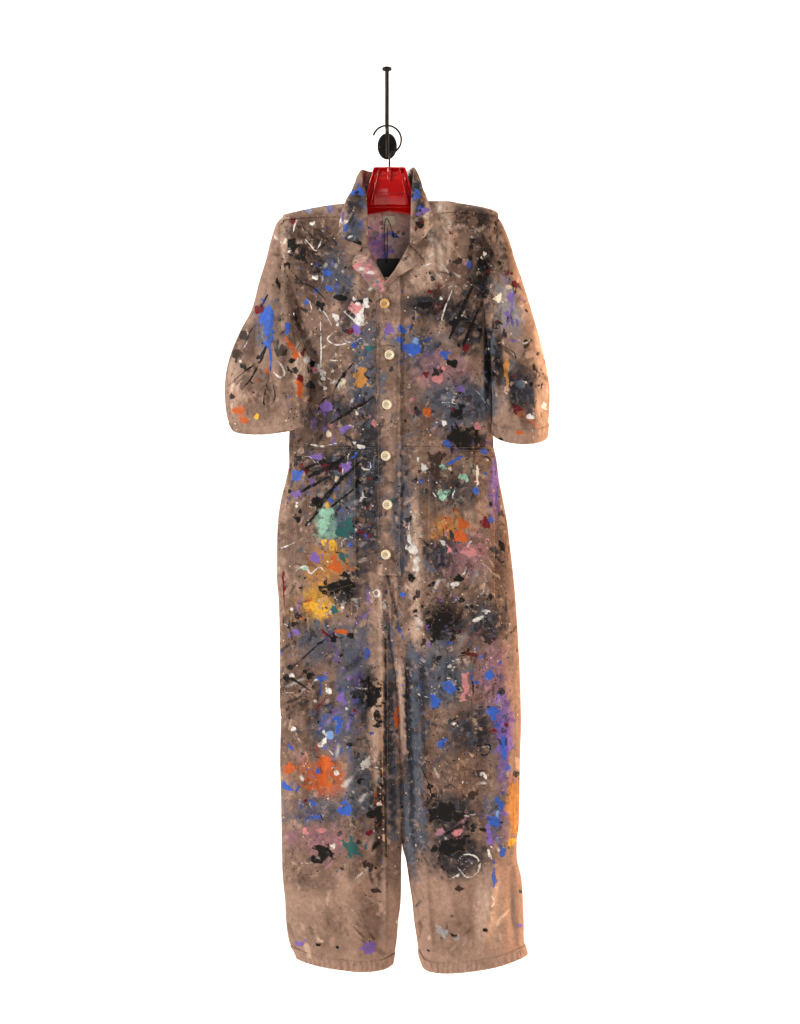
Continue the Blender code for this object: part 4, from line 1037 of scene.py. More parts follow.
def body_y(x, z, face, stand_off=0.0):
    """y of the torso's and hips' surface in front (face -1) or behind (face 1), folds included."""
    fullness = ARMHOLE_FULLNESS * np.clip((z + 0.308) / 0.08, 0, 1)
    left = left_side(z) - fullness
    right = right_side(z) + fullness
    lens = round_share((2 * x - left - right) / (right - left))
    table, relief = (FRONT_DEPTH, FRONT_RELIEF) if face < 0 else (BACK_DEPTH, BACK_RELIEF)
    depth = along(table, z) * lens
    height, shift = top_of(x)
    rise = np.clip((z - height + SHOULDER_DEPTH) / SHOULDER_DEPTH, 0, 1)
    arch = np.sqrt(1 - rise**2)
    shift = shift if face > 0 else 0.0
    depth = shift + (depth - shift) * arch
    calm = ease(0.0, 0.5, lens) * arch
    return HANG_Y + face * (depth + relief.at(x, z) * calm + stand_off)


def leg_y(x, z, left, right, face, stand_off=0.0):
    lens = round_share((2 * x - left - right) / (right - left))
    relief = FRONT_RELIEF if face < 0 else BACK_RELIEF
    depth = along(LEG_DEPTH, z) * lens
    return HANG_Y + face * (depth + relief.at(x, z) * ease(0.0, 0.5, lens) + stand_off)


def inseam(side, z):
    return along(LEFT_INSEAM if side == "left" else RIGHT_INSEAM, z)


def leg_edges(side, z):
    """x of a leg's left and right outline."""
    return (left_side(z), inseam("left", z)) if side == "left" else (inseam("right", z), right_side(z))


def trouser_y(x, z, side, face, stand_off=0.0):
    """y of a trouser leg's surface, hip to hem: the hips' one oval becomes a round leg below the crotch."""
    left, right = leg_edges(side, z)
    hips = body_y(x, z, face, stand_off)
    leg = leg_y(x, z, left, right, face, stand_off)
    return mix(leg, hips, ease(CROTCH_Z - 0.020, CROTCH_Z + 0.080, z))


def steps_towards(count, power=1.5):
    """0 to 1 in count steps, closer together at 0."""
    return np.linspace(0, 1, count) ** power


def front_seam(x):
    """Height of the seam between a front and the yoke."""
    return along(SHOULDER_TOP, x) - 0.040 + 0.16 * np.abs(x)


def back_seam(x):
    return along(SHOULDER_TOP, x) - 0.052


def panel_grid(side, edge, top, bottom, rows, columns):
    """x and z of a panel between two outlines, which are functions of z, and two heights."""
    down = np.linspace(0, 1, rows)[:, None]
    across = steps_towards(columns)[None, :]
    z = mix(-0.2, WAIST_Z, down) + 0 * across
    for _ in range(5):
        x = mix(side(z), edge(z), across)
        z = mix(top(x), bottom(x), down)
    return x, z


def level(height):
    return lambda x: height + 0 * x


# Making meshes


def grid_faces(rows, columns, closed=False):
    """Quads of a grid, row by row. A closed grid's last column joins its first."""
    row = np.arange(rows - 1)[:, None]
    column = np.arange(columns if closed else columns - 1)[None, :]
    after = (column + 1) % columns
    here = row * columns + column
    beside = row * columns + after
    return np.stack([here, here + columns, beside + columns, beside], axis=-1).reshape(-1, 4)


def mesh_object(name, points, faces, materials):
    """A smooth-shaded mesh object from arrays of points and quads or triangles."""
    mesh = bpy.data.meshes.new(name)
    mesh.vertices.add(len(points))
    mesh.vertices.foreach_set("co", np.ascontiguousarray(points, np.float32).ravel())
    mesh.loops.add(faces.size)
    mesh.loops.foreach_set("vertex_index", np.ascontiguousarray(faces, np.int32).ravel())
    mesh.polygons.add(len(faces))
    mesh.polygons.foreach_set("loop_start", np.arange(len(faces), dtype=np.int32) * faces.shape[1])
    mesh.update(calc_edges=True)
    mesh.validate()
    mesh.shade_smooth()
    for material in materials:
        mesh.materials.append(material)
    obj = bpy.data.objects.new(name, mesh)
    bpy.context.scene.collection.objects.link(obj)
    return obj


def colour_vertices(mesh, attribute, values):
    layer = mesh.attributes.new(attribute, "FLOAT_COLOR", "POINT")
    colours = np.ones((len(values), 4), np.float32)
    colours[:, :3] = values
    layer.data.foreach_set("color", colours.ravel())


def cloth(name, points, side, thickness=CLOTH, closed=False, keep=None):
    """A cloth piece from a grid of points, painted from the canvas of its side and thickened inwards."""
    rows, columns = points.shape[:2]
    faces = grid_faces(rows, columns, closed)
    if keep is not None:
        faces = faces[keep.reshape(-1)[faces].all(axis=1)]
    flat = points.reshape(-1, 3)
    used = np.unique(faces)
    place = np.zeros(len(flat), int)
    place[used] = np.arange(len(used))
    flat = flat[used]
    obj = mesh_object(name, flat, place[faces], [MATERIALS["canvas"], MATERIALS["lining"]])
    for attribute, values in sample_paint(flat, side).items():
        if values.ndim == 1:
            layer = obj.data.attributes.new(attribute, "FLOAT", "POINT")
            layer.data.foreach_set("value", values.astype(np.float32))
        else:
            colour_vertices(obj.data, attribute, values)
    thick = obj.modifiers.new("Cloth thickness", "SOLIDIFY")
    thick.thickness = thickness
    thick.offset = -1.0
    thick.material_offset = 1
    return obj


def stacked(x, y, z):
    return np.stack(np.broadcast_arrays(x, y, z), axis=-1)


# Torso


def left_front_edge(z):
    neck = along(LEFT_NECK, z)
    return np.where(z > -0.272, neck, 0.0100)


def right_front_edge(z):
    neck = along(RIGHT_NECK, z)
    return np.where(z > -0.272, neck, PLACKET_LOW.x + 0.004)


def make_torso():
    x, z = panel_grid(left_side, left_front_edge, front_seam, level(WAIST_Z), 190, 112)
    left = cloth("torso_front_left", stacked(x, body_y(x, z, -1), z), "front")
    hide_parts("front_left")
    x, z = panel_grid(right_side, right_front_edge, front_seam, level(WAIST_Z), 190, 112)
    right = cloth("torso_front_right", stacked(x, body_y(x, z, -1), z)[:, ::-1], "front")
    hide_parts("front_right")
    x, z = whole_grid(back_seam, level(WAIST_Z), 130, 130)
    back = cloth("torso_back", stacked(x, body_y(x, z, 1), z)[:, ::-1], "back")
    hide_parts("back_panel")
    panels = ((left, (0.24, 0.46), 0.80), (right, (0.25, 0.46), 0.80), (back, (0.44, 0.45), 0.90))
    for piece, flat, share in panels:
        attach(piece, "garment")


def whole_grid(top, bottom, rows, columns):
    """x and z across the whole back, close together at both sides."""
    down = np.linspace(0, 1, rows)[:, None]
    share = (1 - np.cos(np.linspace(0, math.pi, columns)))[None, :] / 2
    z = mix(-0.2, WAIST_Z, down) + 0 * share
    for _ in range(5):
        x = mix(left_side(z), right_side(z), share)
        z = mix(top(x), bottom(x), down)
    return x, z


def make_yoke():
    """The yoke lies over both shoulders: from the back seam up and over to the fronts."""
    columns = (1 - np.cos(np.linspace(0, math.pi, 190)))[None, :] / 2
    rows = []
    masks = []
    x = mix(-0.1985, 0.2035, columns)
    for _ in range(4):
        x = mix(left_side(back_seam(x)), right_side(back_seam(x)), columns)
    height, _ = top_of(x)
    for share in np.linspace(0, 1, 22):
        z = mix(back_seam(x) - 0.003, height - 0.004, share)
        rows.append(stacked(edge_x(x, z), body_y(x, z, 1, YOKE_LIFT), z))
        masks.append(np.ones(x.shape, bool))
    shoulder = np.abs(x - CENTRE_X) > 0.052
    for share in np.linspace(0.06, 1, 26):
        z = mix(height - 0.002, front_seam(x) - 0.003, share)
        rows.append(stacked(edge_x(x, z), body_y(x, z, -1, YOKE_LIFT), z))
        masks.append(shoulder)
    points = np.concatenate(rows, axis=0)
    keep = np.concatenate(masks, axis=0)
    yoke = cloth("yoke", points, "yoke", keep=keep)
    yoke.modifiers["Cloth thickness"].offset = 1.0
    flip_faces(yoke)
    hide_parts("yoke_left_shoulder", "yoke_right_shoulder", "yoke_back")
    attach(yoke, "garment")


def edge_x(x, z):
    """Keeps the yoke's ends on the armholes at every height."""
    low = left_side(np.full(x.shape, -0.19))
    high = right_side(np.full(x.shape, -0.19))
    share = (x - x.min()) / (x.max() - x.min())
    pull = ease(0.55, 1.0, np.abs(2 * share - 1))
    wanted = np.where(share < 0.5, left_side(z) - low, right_side(z) - high)
    return x + wanted * pull


def flip_faces(obj):
    obj.data.flip_normals()
    obj.modifiers["Cloth thickness"].offset = -obj.modifiers["Cloth thickness"].offset


def make_placket():
    """The button strip: two turned edges with a flat between them, over both fronts."""
    z = np.linspace(PLACKET_HIGH.z + 0.016, PLACKET_LOW.z, 250)[:, None]
    across = np.linspace(0, 1, 24)[None, :]
    x = mix(PLACKET_LOW.x, PLACKET_HIGH.x, across)
    x = x + 0.0008 * np.sin(z * 160) * (1 - 2 * across)
    rise = 0.0030
    for seam in (0.13, 0.87):
        rise = rise - 0.0008 * np.exp(-(((across - seam) / 0.05) ** 2))
    rise = rise + 0.0007 * (noise((250, 24), (8, 12), 51) - 0.5)
    y = body_y(x, z, -1, rise)
    strip = cloth("placket", stacked(x, y, z), "front", thickness=0.0022)
    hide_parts("button_placket")
    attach(strip, "garment")


# Collar and lapels

# Stations from the left front round the back to the right front: the folded top edge, the outer edge of
# the fall and the neck seam under the stand, each as (x, y before the hanger, z)
COLLAR_STATIONS = (
    ((-0.0380, -0.048, -0.2010), (-0.0840, -0.053, -0.1854), (-0.0380, -0.036, -0.1900)),
    ((-0.0375, -0.046, -0.1700), (-0.0882, -0.052, -0.1750), (-0.0435, -0.031, -0.1600)),
    ((-0.0385, -0.040, -0.1380), (-0.0862, -0.046, -0.1536), (-0.0515, -0.026, -0.1420)),
    ((-0.0405, -0.028, -0.1060), (-0.0775, -0.037, -0.1200), (-0.0575, -0.016, -0.1220)),
    ((-0.0450, -0.012, -0.0760), (-0.0680, -0.018, -0.0990), (-0.0560, -0.004, -0.1040)),
    ((-0.0490, 0.006, -0.0550), (-0.0640, 0.010, -0.0960), (-0.0495, 0.010, -0.1040)),
    ((-0.0320, 0.029, -0.0550), (-0.0440, 0.043, -0.1020), (-0.0310, 0.025, -0.1030)),
    ((0.0040, 0.036, -0.0550), (0.0040, 0.050, -0.1040), (0.0040, 0.030, -0.1030)),
    ((0.0380, 0.029, -0.0530), (0.0500, 0.043, -0.1020), (0.0370, 0.025, -0.1030)),
    ((0.0515, 0.006, -0.0505), (0.0640, 0.010, -0.0900), (0.0550, 0.010, -0.1040)),
    ((0.0490, -0.012, -0.0740), (0.0695, -0.018, -0.0980), (0.0590, -0.004, -0.1040)),
    ((0.0470, -0.028, -0.1030), (0.0790, -0.037, -0.1250), (0.0640, -0.016, -0.1220)),
    ((0.0465, -0.040, -0.1350), (0.0845, -0.046, -0.1450), (0.0595, -0.026, -0.1420)),
    ((0.0455, -0.046, -0.1650), (0.0840, -0.052, -0.1640), (0.0530, -0.031, -0.1580)),
    ((0.0440, -0.048, -0.1960), (0.0550, -0.053, -0.1985), (0.0450, -0.036, -0.1880)),
)
# Lapels: roll line and free edge, top to bottom, as (x, z)
LEFT_LAPEL = (
    ((-0.0340, -0.2010), (-0.0235, -0.2230), (-0.0120, -0.2440), (-0.0020, -0.2640), (0.0020, -0.2780)),
    ((-0.0450, -0.2010), (-0.0640, -0.2320), (-0.0450, -0.2560), (-0.0265, -0.2766), (-0.0100, -0.2890)),
)
RIGHT_LAPEL = (
    ((0.0405, -0.1960), (0.0290, -0.2180), (0.0170, -0.2390), (0.0060, -0.2540), (-0.0110, -0.2760)),
    ((0.0520, -0.2060), (0.0640, -0.2283), (0.0400, -0.2440), (0.0190, -0.2580), (-0.0050, -0.2840)),
)


def make_collar():
    """One strip of collar: up from its outer edge, over the rounded fold and down the stand."""
    lines = [smooth_line([station[i] for station in COLLAR_STATIONS], 9) for i in range(3)]
    fold, outer, seam = (line + np.array([0.0, HANG_Y, 0.0]) for line in lines)
    out = outer - seam
    out[:, 2] = 0
    out /= np.linalg.norm(out, axis=1)[:, None]
    up = np.array([0.0, 0.0, 0.0012])
    waves = 0.0010 * np.sin(np.arange(len(fold)) / 4.2)[:, None]
    controls = [
        outer,
        mix(outer, fold, 0.35) + out * (0.0022 + waves),
        mix(outer, fold, 0.75) + out * 0.0028,
        fold + out * 0.0016 - up,
        fold + up - out * 0.0006,
        fold - out * 0.0034 - up,
        mix(fold, seam, 0.45) - out * 0.0036,
        seam - out * 0.0036,
    ]
    columns = [smooth_line([control[i] for control in controls], 7) for i in range(len(fold))]
    points = np.stack(columns, axis=1)
    points[..., 1] -= 0.0009 * (noise(points.shape[:2], (9, 9), 61) - 0.5) * 2
    collar = cloth("collar", points, "collar", thickness=0.0016)
    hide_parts("collar_fall", "collar_stand")
    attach(collar, "garment")


def make_lapel(name, lines, node):
    """A lapel turned back along its roll line, from the free edge to a rounded roll tucked under it."""
    roll, free = (smooth_line(line, 14) for line in lines)
    rows = len(roll)
    shares = np.array([0.0, 0.03, 0.12, 0.25, 0.4, 0.55, 0.7, 0.82, 0.92, 0.98, 1.0, 0.97, 0.9])
    heights = np.array([2.6, 3.0, 3.4, 4.0, 4.6, 5.2, 5.8, 6.0, 5.6, 4.6, 3.2, 2.2, 1.6]) * MM
    x = mix(free[:, :1], roll[:, :1], shares[None, :])
    z = mix(free[:, 1:], roll[:, 1:], shares[None, :])
    ends = np.minimum(1.0, np.linspace(0, 8, rows)) * np.minimum(1.0, np.linspace(6, 0.6, rows))
    y = body_y(x, z, -1, 0.0008 + heights[None, :] * ends[:, None])
    points = stacked(x, y, z)
    if name.endswith("right"):
        points = points[:, ::-1]
    lapel = cloth(name, points, "collar", thickness=0.0014)
    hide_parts(node)
    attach(lapel, "garment")


def make_neck_facing():
    """The inside of the back that shows through the open neck."""
    z = np.linspace(-0.104, -0.310, 100)[:, None]
    half = straight(((-0.310, 0.085), (-0.160, 0.070), (-0.104, 0.052)), z)
    x = CENTRE_X + half * np.linspace(-1, 1, 70)[None, :]
    y = HANG_Y + 0.0297 - 1.8 * (x - CENTRE_X) ** 2 + 0.0015 * np.sin(x * 190 + z * 40) + 0 * z
    facing = cloth("neck_facing", stacked(x, y, z), "inside", thickness=0.0009)
    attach(facing, "garment")


# Trousers


def make_trousers():
    for side, outer, hem in (("left", left_side, LEFT_HEM), ("right", right_side, RIGHT_HEM)):
        for face, part in ((-1, "front"), (1, "back")):
            rows, columns = (430, 104) if face < 0 else (230, 60)
            down = np.linspace(0, 1, rows)[:, None]
            share = (1 - np.cos(np.linspace(0, math.pi, columns) * 0.98 + 0.02))[None, :] / 2
            share = (share - share.min()) / (share.max() - share.min())
            z = mix(WAIST_Z + 0.003, -1.50, down) + 0 * share
            for _ in range(4):
                x = mix(outer(z), inseam(side, z), share)
                z = mix(WAIST_Z + 0.003, along(hem, x) + 0.016, down)
            tuck = 0.0016 * ease(WAIST_Z - 0.010, WAIST_Z, z)
            y = trouser_y(x, z, side, face, -tuck)
            points = stacked(x, y, z)
            if (side == "right") == (face < 0):
                points = points[:, ::-1]
            piece = cloth(f"trouser_{part}_{side}", points, "front" if face < 0 else "back")
            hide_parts(f"hip_{part}_{side}", f"leg_{part}_{side}")
            bend_leg(piece)
        make_hem(side, hem)


def bend_leg(obj):
    """Bakes the piece's placement into its mesh."""
    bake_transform(obj)


def make_hem(side, hem):
    """The turned-up band round a leg's end, thicker than the cloth and puckered by its stitching."""
    rows, columns = 22, 260
    angle = np.linspace(0, 2 * math.pi, columns, endpoint=False)[None, :]
    down = np.linspace(0, 1, rows)[:, None]
    z = mix(-1.505, -1.53, down) + 0 * angle
    for _ in range(4):
        left, right = leg_edges(side, z)
        x = (left + right) / 2 - (right - left) / 2 * np.cos(angle)
        z = mix(along(hem, x) + 0.019, along(hem, x), down)
    lens = np.abs(np.sin(angle)) ** 0.9
    depth = along(LEG_DEPTH, z) * lens
    folds = np.where(np.sin(angle) > 0, FRONT_RELIEF.at(x, z), BACK_RELIEF.at(x, z)) * ease(0.0, 0.5, lens)
    puckers = 0.0007 * np.sin(angle * 46 + 2 * np.sin(angle * 7))
    puckers = puckers + 0.0006 * (noise((rows, columns), (6, 9), 71) - 0.5)
    y = HANG_Y - (depth + folds + 0.0016 + puckers * np.sin(down * math.pi) ** 0.5) * np.sign(np.sin(angle))
    side_x = x - 0.0014 * np.cos(angle)
    band = cloth(f"hem_band_{side}", stacked(side_x, y, z), "front", thickness=0.0024, closed=True)
    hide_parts(f"leg_hem_{side}")
    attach(band, f"{side}_leg")


def make_pockets():
    """Patch pockets set into the side seams, open at the side and stitched on the other edges."""
    for side, (side_x, inner_x, side_bottom, inner_bottom) in POCKETS.items():
        rows, columns = 130, 64
        down = np.linspace(0, 1, rows)[:, None]
        across = np.linspace(0, 1, columns)[None, :]
        x = mix(side_x, inner_x, across) + 0 * down
        z = mix(POCKET_TOP, mix(side_bottom, inner_bottom, across), down)
        gape = np.cos(across * math.pi / 2) ** 2 * np.sin(down * math.pi) ** 0.7
        edge = np.minimum(np.minimum(across, 1 - across) * 60, np.minimum(down, 1 - down) * 130)
        y = body_y(x, z, -1, 0.0013 + 0.0045 * gape + 0.0006 * ease(0, 3, edge))
        points = stacked(x, y, z)
        if side == "right":
            points = points[:, ::-1]
        pocket = cloth(f"pocket_{side}", points, "front", thickness=0.0010)
        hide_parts(f"hip_pocket_{side}")
        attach(pocket, "garment")


# Sleeves


def sleeve_points(rungs, rows, columns):
    table = smooth_line(rungs, 40)
    table = table[np.linspace(0, len(table) - 1, rows).astype(int)]
    outer_x, outer_z, inner_x, inner_z, inner_y, half_depth, droop = (table[:, i : i + 1] for i in range(7))
    angle = np.linspace(0, 2 * math.pi, columns, endpoint=False)[None, :]
    side = np.sign(outer_x - inner_x)
    share = np.cos(angle)
    x = (outer_x + inner_x) / 2 + (outer_x - inner_x) / 2 * share
    z = (outer_z + inner_z) / 2 + (outer_z - inner_z) / 2 * share
    front = np.sin(angle)
    lens = np.sign(front) * np.abs(front) ** 0.85
    z = z - droop * np.maximum(front, 0)
    middle = HANG_Y + inner_y * (1 - share) / 2
    folds = np.where(front > 0, FRONT_RELIEF.at(x, z), BACK_RELIEF.at(x, z)) * ease(0.0, 0.5, np.abs(front))
    opened = ease(0, 8, np.arange(rows))[:, None]
    y = middle - lens * half_depth - np.sign(front) * folds * opened
    points = stacked(x, y, z)
    return points[:, ::-1] if side[0, 0] < 0 else points


def make_sleeves():
    for side, rungs, length in (("left", LEFT_SLEEVE, 0.36), ("right", RIGHT_SLEEVE, 0.38)):
        points = sleeve_points(rungs, 190, 200)
        hem_rows = 11
        body = points[: len(points) - hem_rows + 2]
        sleeve = cloth(f"sleeve_cloth_{side}", body[:, ::-1], f"sleeve_{side}", closed=True)
        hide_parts(f"sleeve_{side}")
        bend_sleeve(sleeve)
        hem = points[-hem_rows:].copy()
        centre = hem.mean(axis=1, keepdims=True)
        out = hem - centre
        out /= np.linalg.norm(out, axis=2, keepdims=True)
        wave = 0.0004 * np.sin(np.arange(hem.shape[1]) * 2 * math.pi * 30 / hem.shape[1])[None, :, None]
        hem += out * (0.0014 + wave)
        band = cloth(f"sleeve_band_{side}", hem[:, ::-1], f"sleeve_{side}", thickness=0.0026, closed=True)
        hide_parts(f"sleeve_hem_{side}")
        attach(band, f"{side}_sleeve")


def bend_sleeve(obj):
    """Bakes the piece's placement into its mesh."""
    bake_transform(obj)


# Stitching


def stitch_row(line, pitch=0.0036, length=0.0024, radius=0.00032):
    """A row of separate stitches along a line of points, as points and faces."""
    step = np.linalg.norm(np.diff(line, axis=0), axis=1)
    along_line = np.concatenate([[0], np.cumsum(step)])
    parts = []
    for start in np.arange(0.001, along_line[-1] - length, pitch):
        places = np.linspace(start, start + length, 4)
        stitch = np.stack([np.interp(places, along_line, line[:, k]) for k in range(3)], axis=1)
        stitch[1:3, 1] -= 0.00022
        parts.append((*tube_mesh(stitch, radius, 6), 0))
    return parts


def sew(name, rows):
    points, faces, _ = joined([part for row in rows for part in stitch_row(row)])
    obj = mesh_object(name, points, faces, [MATERIALS["thread"]])
    return obj


def row_across(x_from, x_to, height, stand_off=STITCH_LIFT):
    x = np.linspace(x_from, x_to, 160)
    z = height(x)
    return stacked(x, body_y(x, z, -1, stand_off), z)


def row_down(x_at, z_from, z_to, stand_off=STITCH_LIFT):
    z = np.linspace(z_from, z_to, 260)
    x = x_at(z)
    return stacked(x, body_y(x, z, -1, stand_off), z)


def waist_row(offset):
    """The height of a waist row, which wavers a little."""
    return lambda x: WAIST_Z - offset + 0.0006 * np.sin(x * 90)


def upright(place):
    return lambda z: place + 0 * z


def pocket_rows(side_x, inner_x, side_bottom, inner_bottom):
    """The rows down both edges of a pocket and along its bottom."""
    toward = 1 if inner_x > side_x else -1
    slope = (inner_bottom - side_bottom) / (inner_x - side_x)
    top = POCKET_TOP - 0.006
    return [
        row_down(upright(side_x + toward * 0.004), top, side_bottom + 0.01, 0.0036),
        row_down(upright(inner_x - toward * 0.004), top, inner_bottom + 0.01, 0.0024),
        row_across(
            side_x + toward * 0.006, inner_x - toward * 0.006,
            lambda x: side_bottom + slope * (x - side_x) + 0.005, 0.0024,
        ),
    ]


def make_body_stitches():
    left_end = left_side(WAIST_Z - 0.01) + 0.004
    right_end = right_side(WAIST_Z - 0.01) - 0.004
    rows = [row_across(left_end, PLACKET_LOW.x - 0.002, waist_row(offset)) for offset in (0.003, 0.009)]
    rows += [row_across(PLACKET_HIGH.x + 0.002, right_end, waist_row(offset)) for offset in (0.003, 0.009)]
    for x in (PLACKET_LOW.x + 0.0035, PLACKET_HIGH.x - 0.0035):
        rows.append(row_down(upright(x), PLACKET_HIGH.z + 0.01, PLACKET_LOW.z + 0.004, 0.0036))
    for start, end in ((-0.192, -0.062), (0.070, 0.192)):
        rows.append(row_across(start, end, lambda x: front_seam(x) - 0.0022, 0.0018))
    for pocket in POCKETS.values():
        rows += pocket_rows(*pocket)
    rows.append(row_down(upright(0.0585), -0.616, -0.862))
    rows.append(row_down(lambda z: right_side(z) - 0.010, -0.600, -0.868))
    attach(sew("stitches_body", rows), "garment")


def make_leg_stitches():
    for side, hem in (("left", LEFT_HEM), ("right", RIGHT_HEM)):
        z = np.linspace(-0.880, -1.495, 420)
        outer = right_side(z) - 0.011 if side == "right" else left_side(z) + 0.006
        inner = inseam("right", z) + 0.0095 if side == "right" else 0.0010 + 0 * z
        legs = [stacked(x, trouser_y(x, z, side, -1, STITCH_LIFT), z) for x in (outer, inner)]
        bend_leg(sew(f"stitches_leg_{side}", legs))
        x = np.linspace(hem[0][0] + 0.012, hem[-1][0] - 0.012, 120)
        z = along(hem, x) + 0.0150
        band = sew(f"stitches_hem_{side}", [stacked(x, leg_y(x, z, *leg_edges(side, z), -1, 0.0028), z)])
        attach(band, f"{side}_leg")


# Buttons, hanger, hook, loop, tag and string

BUTTON_CENTRES = (
    (-0.0037, -0.305), (0.005, -0.399), (0.0005, -0.490), (-0.0018, -0.584), (0.001, -0.6735),
    (-0.0018, -0.765),
)


def turned_points(profile, steps):
    """Points of a profile of (radius, height) turned about Z."""
    angle = np.linspace(0, 2 * math.pi, steps, endpoint=False)[None, :]
    radius = np.array(profile)[:, :1]
    height = np.array(profile)[:, 1:]
    return stacked(radius * np.cos(angle), radius * np.sin(angle), height + 0 * angle)


# A button's section from its middle, over its rim and back underneath, as (radius, height)
BUTTON_PROFILE = (
    (0.0002, 0.0010), (0.0040, 0.0010), (0.0052, 0.0013), (0.0060, 0.0024), (0.0074, 0.0028),
    (0.0086, 0.0024),
    (0.0091, 0.0016), (0.0088, 0.0006), (0.0078, 0.0), (0.0002, 0.0),
)
HOLE_OFFSET = 0.0017


def button_parts():
    """A turned button with four holes drawn as dark discs of painted shade, sewn on with two threads, face up
    about the origin.
    """
    ring = turned_points(BUTTON_PROFILE, 40)
    parts = [(ring.reshape(-1, 3), grid_faces(len(BUTTON_PROFILE), 40, True), 0)]
    # Painted shade: each hole is a flat dark disc laid just above the face
    for a, b in ((-1, -1), (1, -1), (1, 1), (-1, 1)):
        hole = turned_points(((0.00075, 0.00112), (0.0001, 0.00112)), 12)
        hole += np.array([a * HOLE_OFFSET, b * HOLE_OFFSET, 0])
        parts.append((hole.reshape(-1, 3), grid_faces(2, 12, True), 1))
    for a in (-1, 1):
        path = [
            (a * HOLE_OFFSET, -HOLE_OFFSET, 0.0009), (a * 0.0015, -0.0008, 0.0018),
            (a * 0.0015, 0.0008, 0.0018), (a * HOLE_OFFSET, HOLE_OFFSET, 0.0009),
        ]
        parts.append((*tube_mesh(smooth_line(path, 4), 0.00042, 8), 2))
    return joined(parts)


def make_buttons():
    points, faces, slots = button_parts()
    for number, (x, z) in enumerate(BUTTON_CENTRES, 1):
        turn = 0.35 * number
        cosine, sine = math.cos(turn), math.sin(turn)
        spun = points.copy()
        spun[:, 0] = points[:, 0] * cosine - points[:, 1] * sine
        spun[:, 1] = points[:, 0] * sine + points[:, 1] * cosine
        seat = float(body_y(np.array(x), np.array(z), -1, 0.0034))
        placed = np.stack([x + spun[:, 0], seat - spun[:, 2], z + spun[:, 1]], axis=1)
        horn = MATERIALS["button_gold"] if number == 1 else MATERIALS["button"]
        materials = [horn, MATERIALS["painted_hole_shade"], MATERIALS["thread"]]
        button = mesh_object(f"coat_button_{number}", placed, faces, materials)
        button.data.polygons.foreach_set("material_index", slots)
        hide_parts(f"button_{number}")
        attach(button, "garment")


def joined(parts):
    """Several (points, quads, slot) as one mesh's arrays."""
    points = []
    faces = []
    slots = []
    count = 0
    for some_points, some_faces, slot in parts:
        points.append(some_points)
        faces.append(some_faces + count)
        slots.append(np.full(len(some_faces), slot, np.int32))
        count += len(some_points)
    return np.concatenate(points), np.concatenate(faces), np.concatenate(slots)


def tube_mesh(line, radius, sides):
    """A tube round a line of points, as points and quads, with its ends drawn in."""
    tangent = np.gradient(line, axis=0)
    tangent /= np.linalg.norm(tangent, axis=1)[:, None]
    side = np.cross(tangent, np.array([0.0, 1.0, 0.0]) + 1e-4)
    side /= np.linalg.norm(side, axis=1)[:, None]
    up = np.cross(side, tangent)
    angle = np.linspace(0, 2 * math.pi, sides, endpoint=False)
    radii = np.full(len(line), radius)
    radii[0] = radii[-1] = radius * 0.35
    ring = side[:, None, :] * np.cos(angle)[None, :, None] + up[:, None, :] * np.sin(angle)[None, :, None]
    points = line[:, None, :] + ring * radii[:, None, None]
    return points.reshape(-1, 3), grid_faces(len(line), sides, True)


def curve_tube(name, points, radius, material, resolution=6):
    curve = bpy.data.curves.new(name, "CURVE")
    curve.dimensions = "3D"
    curve.bevel_depth = radius
    curve.bevel_resolution = resolution
    curve.use_fill_caps = True
    spline = curve.splines.new("POLY")
    spline.points.add(len(points) - 1)
    for knot, point in zip(spline.points, points):
        knot.co = (*point, 1.0)
    spline.use_smooth = True
    curve.materials.append(material)
    obj = bpy.data.objects.new(name, curve)
    bpy.context.scene.collection.objects.link(obj)
    return obj


# Right half of the hanger's outline from the top middle to the bottom middle, as (x, z)
HANGER_OUTLINE = (
    (0.0, -0.0494), (0.0265, -0.0494), (0.0300, -0.0525), (0.0340, -0.066), (0.0385, -0.082),
    (0.046, -0.104), (0.062, -0.1165), (0.085, -0.1235), (0.135, -0.131), (0.174, -0.1405), (0.185, -0.1475),
    (0.186, -0.155), (0.178, -0.160), (0.135, -0.153), (0.085, -0.147), (0.045, -0.139), (0.0, -0.1317),
)
# The rim's section, as (distance in from the outline, y)
HANGER_RIM = (
    (0.0, -0.0048), (0.0008, -0.0058), (0.0020, -0.0058), (0.0026, -0.0048),
    (0.0026, 0.0048), (0.0020, 0.0058), (0.0008, 0.0058), (0.0, 0.0048),
)


